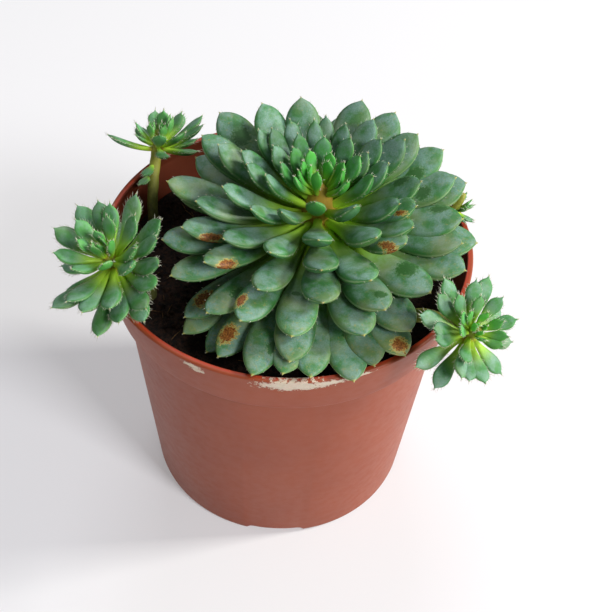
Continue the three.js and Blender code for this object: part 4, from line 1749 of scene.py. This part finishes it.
def crumb(rng, at):
    """A rough lump: the twelve points of an icosahedron, each pushed in or out."""
    golden = (1 + math.sqrt(5)) / 2
    corners = [(0, a, b * golden) for a in (-1, 1) for b in (-1, 1)]
    corners += [(a, b * golden, 0) for a in (-1, 1) for b in (-1, 1)]
    corners += [(a * golden, 0, b) for a in (-1, 1) for b in (-1, 1)]
    size = rng.uniform(*CRUMB_SIZE) * np.array([1, rng.uniform(0.6, 1), rng.uniform(0.5, 0.8)])
    lump = np.array([unit(c) * rng.uniform(0.75, 1.15) * size for c in corners])
    turn = Matrix.Rotation(rng.uniform(0, 2 * math.pi), 3, "Z")
    return lump @ np.array(turn) + at


def hull_faces(points):
    """The faces of a lump that bulges outwards everywhere, by Blender's convex hull."""
    hull = bmesh.new()
    for point in points:
        hull.verts.new(point)
    hull.verts.index_update()
    hull.verts.ensure_lookup_table()
    bmesh.ops.convex_hull(hull, input=hull.verts)
    faces = [tuple(v.index for v in face.verts) for face in hull.faces]
    hull.free()
    return faces


rng = np.random.default_rng(11)
crumb_points, crumb_faces = [], []
for _ in range(CRUMBS):
    lump = crumb(rng, scatter(rng, soil_edge))
    crumb_faces += [tuple(len(crumb_points) + i for i in face) for face in hull_faces(lump)]
    crumb_points += list(lump)
crumbs_piece = mesh_piece("soil_crumbs", crumb_points, crumb_faces, smooth=False)
print(CRUMBS, "crumbs have", len(crumb_faces), "faces")

# %% [markdown]
# ## Root fibres
#
# Thin dead roots lie between the crumbs. Curves with a bevel could make them, but the ring
# skin of the leaves does it too: four sides, five rings, and ends that droop a little. They
# go on with the random draws of the crumbs.

# %% Soil fibres
FIBRES = 90
FIBRE_SIDES = 4
FIBRE_RINGS = 5
FIBRE_RADIUS = 0.13
FIBRE_LENGTH = (2, 6)
FIBRE_INSET = 4
FIBRE_LIFT = 0.4
FIBRE_DROOP = 0.32
RINGS_SHARE = 0.96


def fibre(rng):
    """Points of one fibre: its end, rings that droop towards both ends, its other end."""
    turn = rng.uniform(0, 2 * math.pi)
    way = np.array([math.cos(turn), math.sin(turn), rng.uniform(0, 0.25)])
    middle = scatter(rng, soil_edge - FIBRE_INSET) + (0, 0, FIBRE_LIFT)
    length = rng.uniform(*FIBRE_LENGTH)
    across = unit(np.cross(way, (0, 0, 1)))
    over = np.cross(across, way)
    points = [middle - way * length / 2]
    for share in np.linspace(-0.5, 0.5, FIBRE_RINGS):
        droop = np.array([0, 0, -FIBRE_DROOP * (2 * share) ** 2])
        for corner in range(FIBRE_SIDES):
            angle = 2 * math.pi * corner / FIBRE_SIDES
            outward = across * math.cos(angle) + over * math.sin(angle)
            centre = middle + way * length * share * RINGS_SHARE + droop
            points.append(centre + outward * FIBRE_RADIUS)
    points.append(middle + way * length / 2)
    return points


fibre_points, fibre_faces = [], []
for _ in range(FIBRES):
    fibre_faces += ring_faces(FIBRE_RINGS, FIBRE_SIDES, len(fibre_points))
    fibre_points += fibre(rng)
fibres_piece = mesh_piece("soil_fibres", fibre_points, fibre_faces)
print(FIBRES, "fibres have", len(fibre_faces), "faces")

# %% [markdown]
# ## Peat and dead roots
#
# Real material: moist peat, as dug and sieved. It is nearly black, because wet crumbs trap
# light, and it has no gloss. The fibres are dead roots and moss, and are straw brown. One
# material with two sets of colours serves both, as both are speckled and dull.

# %% Soil material
# Speckles in a metre: those of the peat are 1.4 mm wide, and those of the fibres 1.1 mm.
PEAT_SPECKLES = 700
FIBRE_SPECKLES = 900


def soil_material(name, dark, light, speckle):
    """Dull speckled matter, from dark hollows to light grains."""
    material = new_material(name)
    position = add(material, "ShaderNodeTexCoord")
    grains = add(material, "ShaderNodeTexNoise", {
        "Vector": position.outputs["Object"], "Scale": speckle, "Detail": 6, "Roughness": 0.7,
    })
    share = add(material, "ShaderNodeMapRange", {
        "Value": grains, "From Min": 0.42, "From Max": 0.72,
    })
    shade = add(material, "ShaderNodeMix", {
        "Factor": share, "A": colour(dark), "B": colour(light),
    }, data_type="RGBA")
    bump = add(material, "ShaderNodeBump", {
        "Height": grains, "Strength": 1.0, "Distance": 0.0008,
    })
    surface = add(material, "ShaderNodeBsdfPrincipled", {
        "Base Color": shade, "Roughness": 0.95, "IOR": 1.33, "Normal": bump,
    })
    add(material, "ShaderNodeOutputMaterial", {"Surface": surface})
    return material


peat = soil_material("moist_peat", "#0d0806", "#3a2417", PEAT_SPECKLES)
straw = soil_material("dead_fibre", "#3c2815", "#8a6a42", FIBRE_SPECKLES)
settle(soil_piece, peat, ["soil"])
settle(crumbs_piece, peat)
settle(fibres_piece, straw)

# %% [markdown]
# ## The floor
#
# The plant stands on a sheet of white paper. In the photograph its shadow is very pale, as
# on a sheet that light reaches from all sides. More lamps could do that, but they would
# light the leaves more too, so the sheet has a weak glow of its own. It is part of the
# stage and not of the object.

# %% Floor
FLOOR_HALF = 3000
PAPER_GLOW = 0.28

corners = [(-1, -1), (1, -1), (1, 1), (-1, 1)]
floor_points = [(x * FLOOR_HALF, y * FLOOR_HALF, 0) for x, y in corners]
floor = mesh_piece("floor", floor_points, [(0, 1, 2, 3)])
paper = new_material("white_paper")
paper_surface = add(paper, "ShaderNodeBsdfPrincipled", {
    "Base Color": colour("#bfbfc0"), "Roughness": 0.9,
    "Emission Color": colour("#fbf9fb"), "Emission Strength": PAPER_GLOW,
})
add(paper, "ShaderNodeOutputMaterial", {"Surface": paper_surface})
floor.data.materials.append(paper)
print("the floor is", 2 * FLOOR_HALF * MM, "m wide")

# %% [markdown]
# ## The light
#
# The leaves are lit softly from the front right and the right, with a weak light behind. One
# big lamp could do it, but two windows at different bearings shape the leaves more. Bearings
# count from the right, anticlockwise seen from above, and distances and sizes are in metres.
# The world adds a little even light. The "Standard" view adds no film look to the colours.

# %% Light
WORLD_STRENGTH = 0.24
LAMP_DISTANCE = 2.0
LAMP_TARGET = Vector((0, 0, 0.08))

scene = bpy.context.scene
scene.view_settings.view_transform = "Standard"
world = bpy.data.worlds.new("studio")
scene.world = world
world.use_nodes = True
background = world.node_tree.nodes["Background"]
background.inputs["Color"].default_value = colour("#f4f5f8")
background.inputs["Strength"].default_value = WORLD_STRENGTH


def soft_light(name, bearing, elevation, size, power, tint):
    """A square lamp that looks at the plant from a bearing and an elevation in degrees."""
    data = bpy.data.lights.new(name, "AREA")
    data.shape = "SQUARE"
    data.size = size
    data.energy = power
    data.color = colour(tint)[:3]
    lamp = bpy.data.objects.new(name, data)
    scene.collection.objects.link(lamp)
    turn, rise = math.radians(bearing), math.radians(elevation)
    level = math.cos(rise)
    way = Vector((level * math.cos(turn), level * math.sin(turn), math.sin(rise)))
    lamp.location = LAMP_TARGET + LAMP_DISTANCE * way
    lamp.rotation_mode = "QUATERNION"
    lamp.rotation_quaternion = way.to_track_quat("Z", "Y")
    print(f"{name}: {power} W through {size} m")


soft_light("front_window", -45, 38, 0.5, 30, "#fdfcff")
soft_light("side_window", 7, 34, 0.35, 38, "#fffdf8")
soft_light("back_window", 95, 60, 0.7, 10, "#f6f8ff")
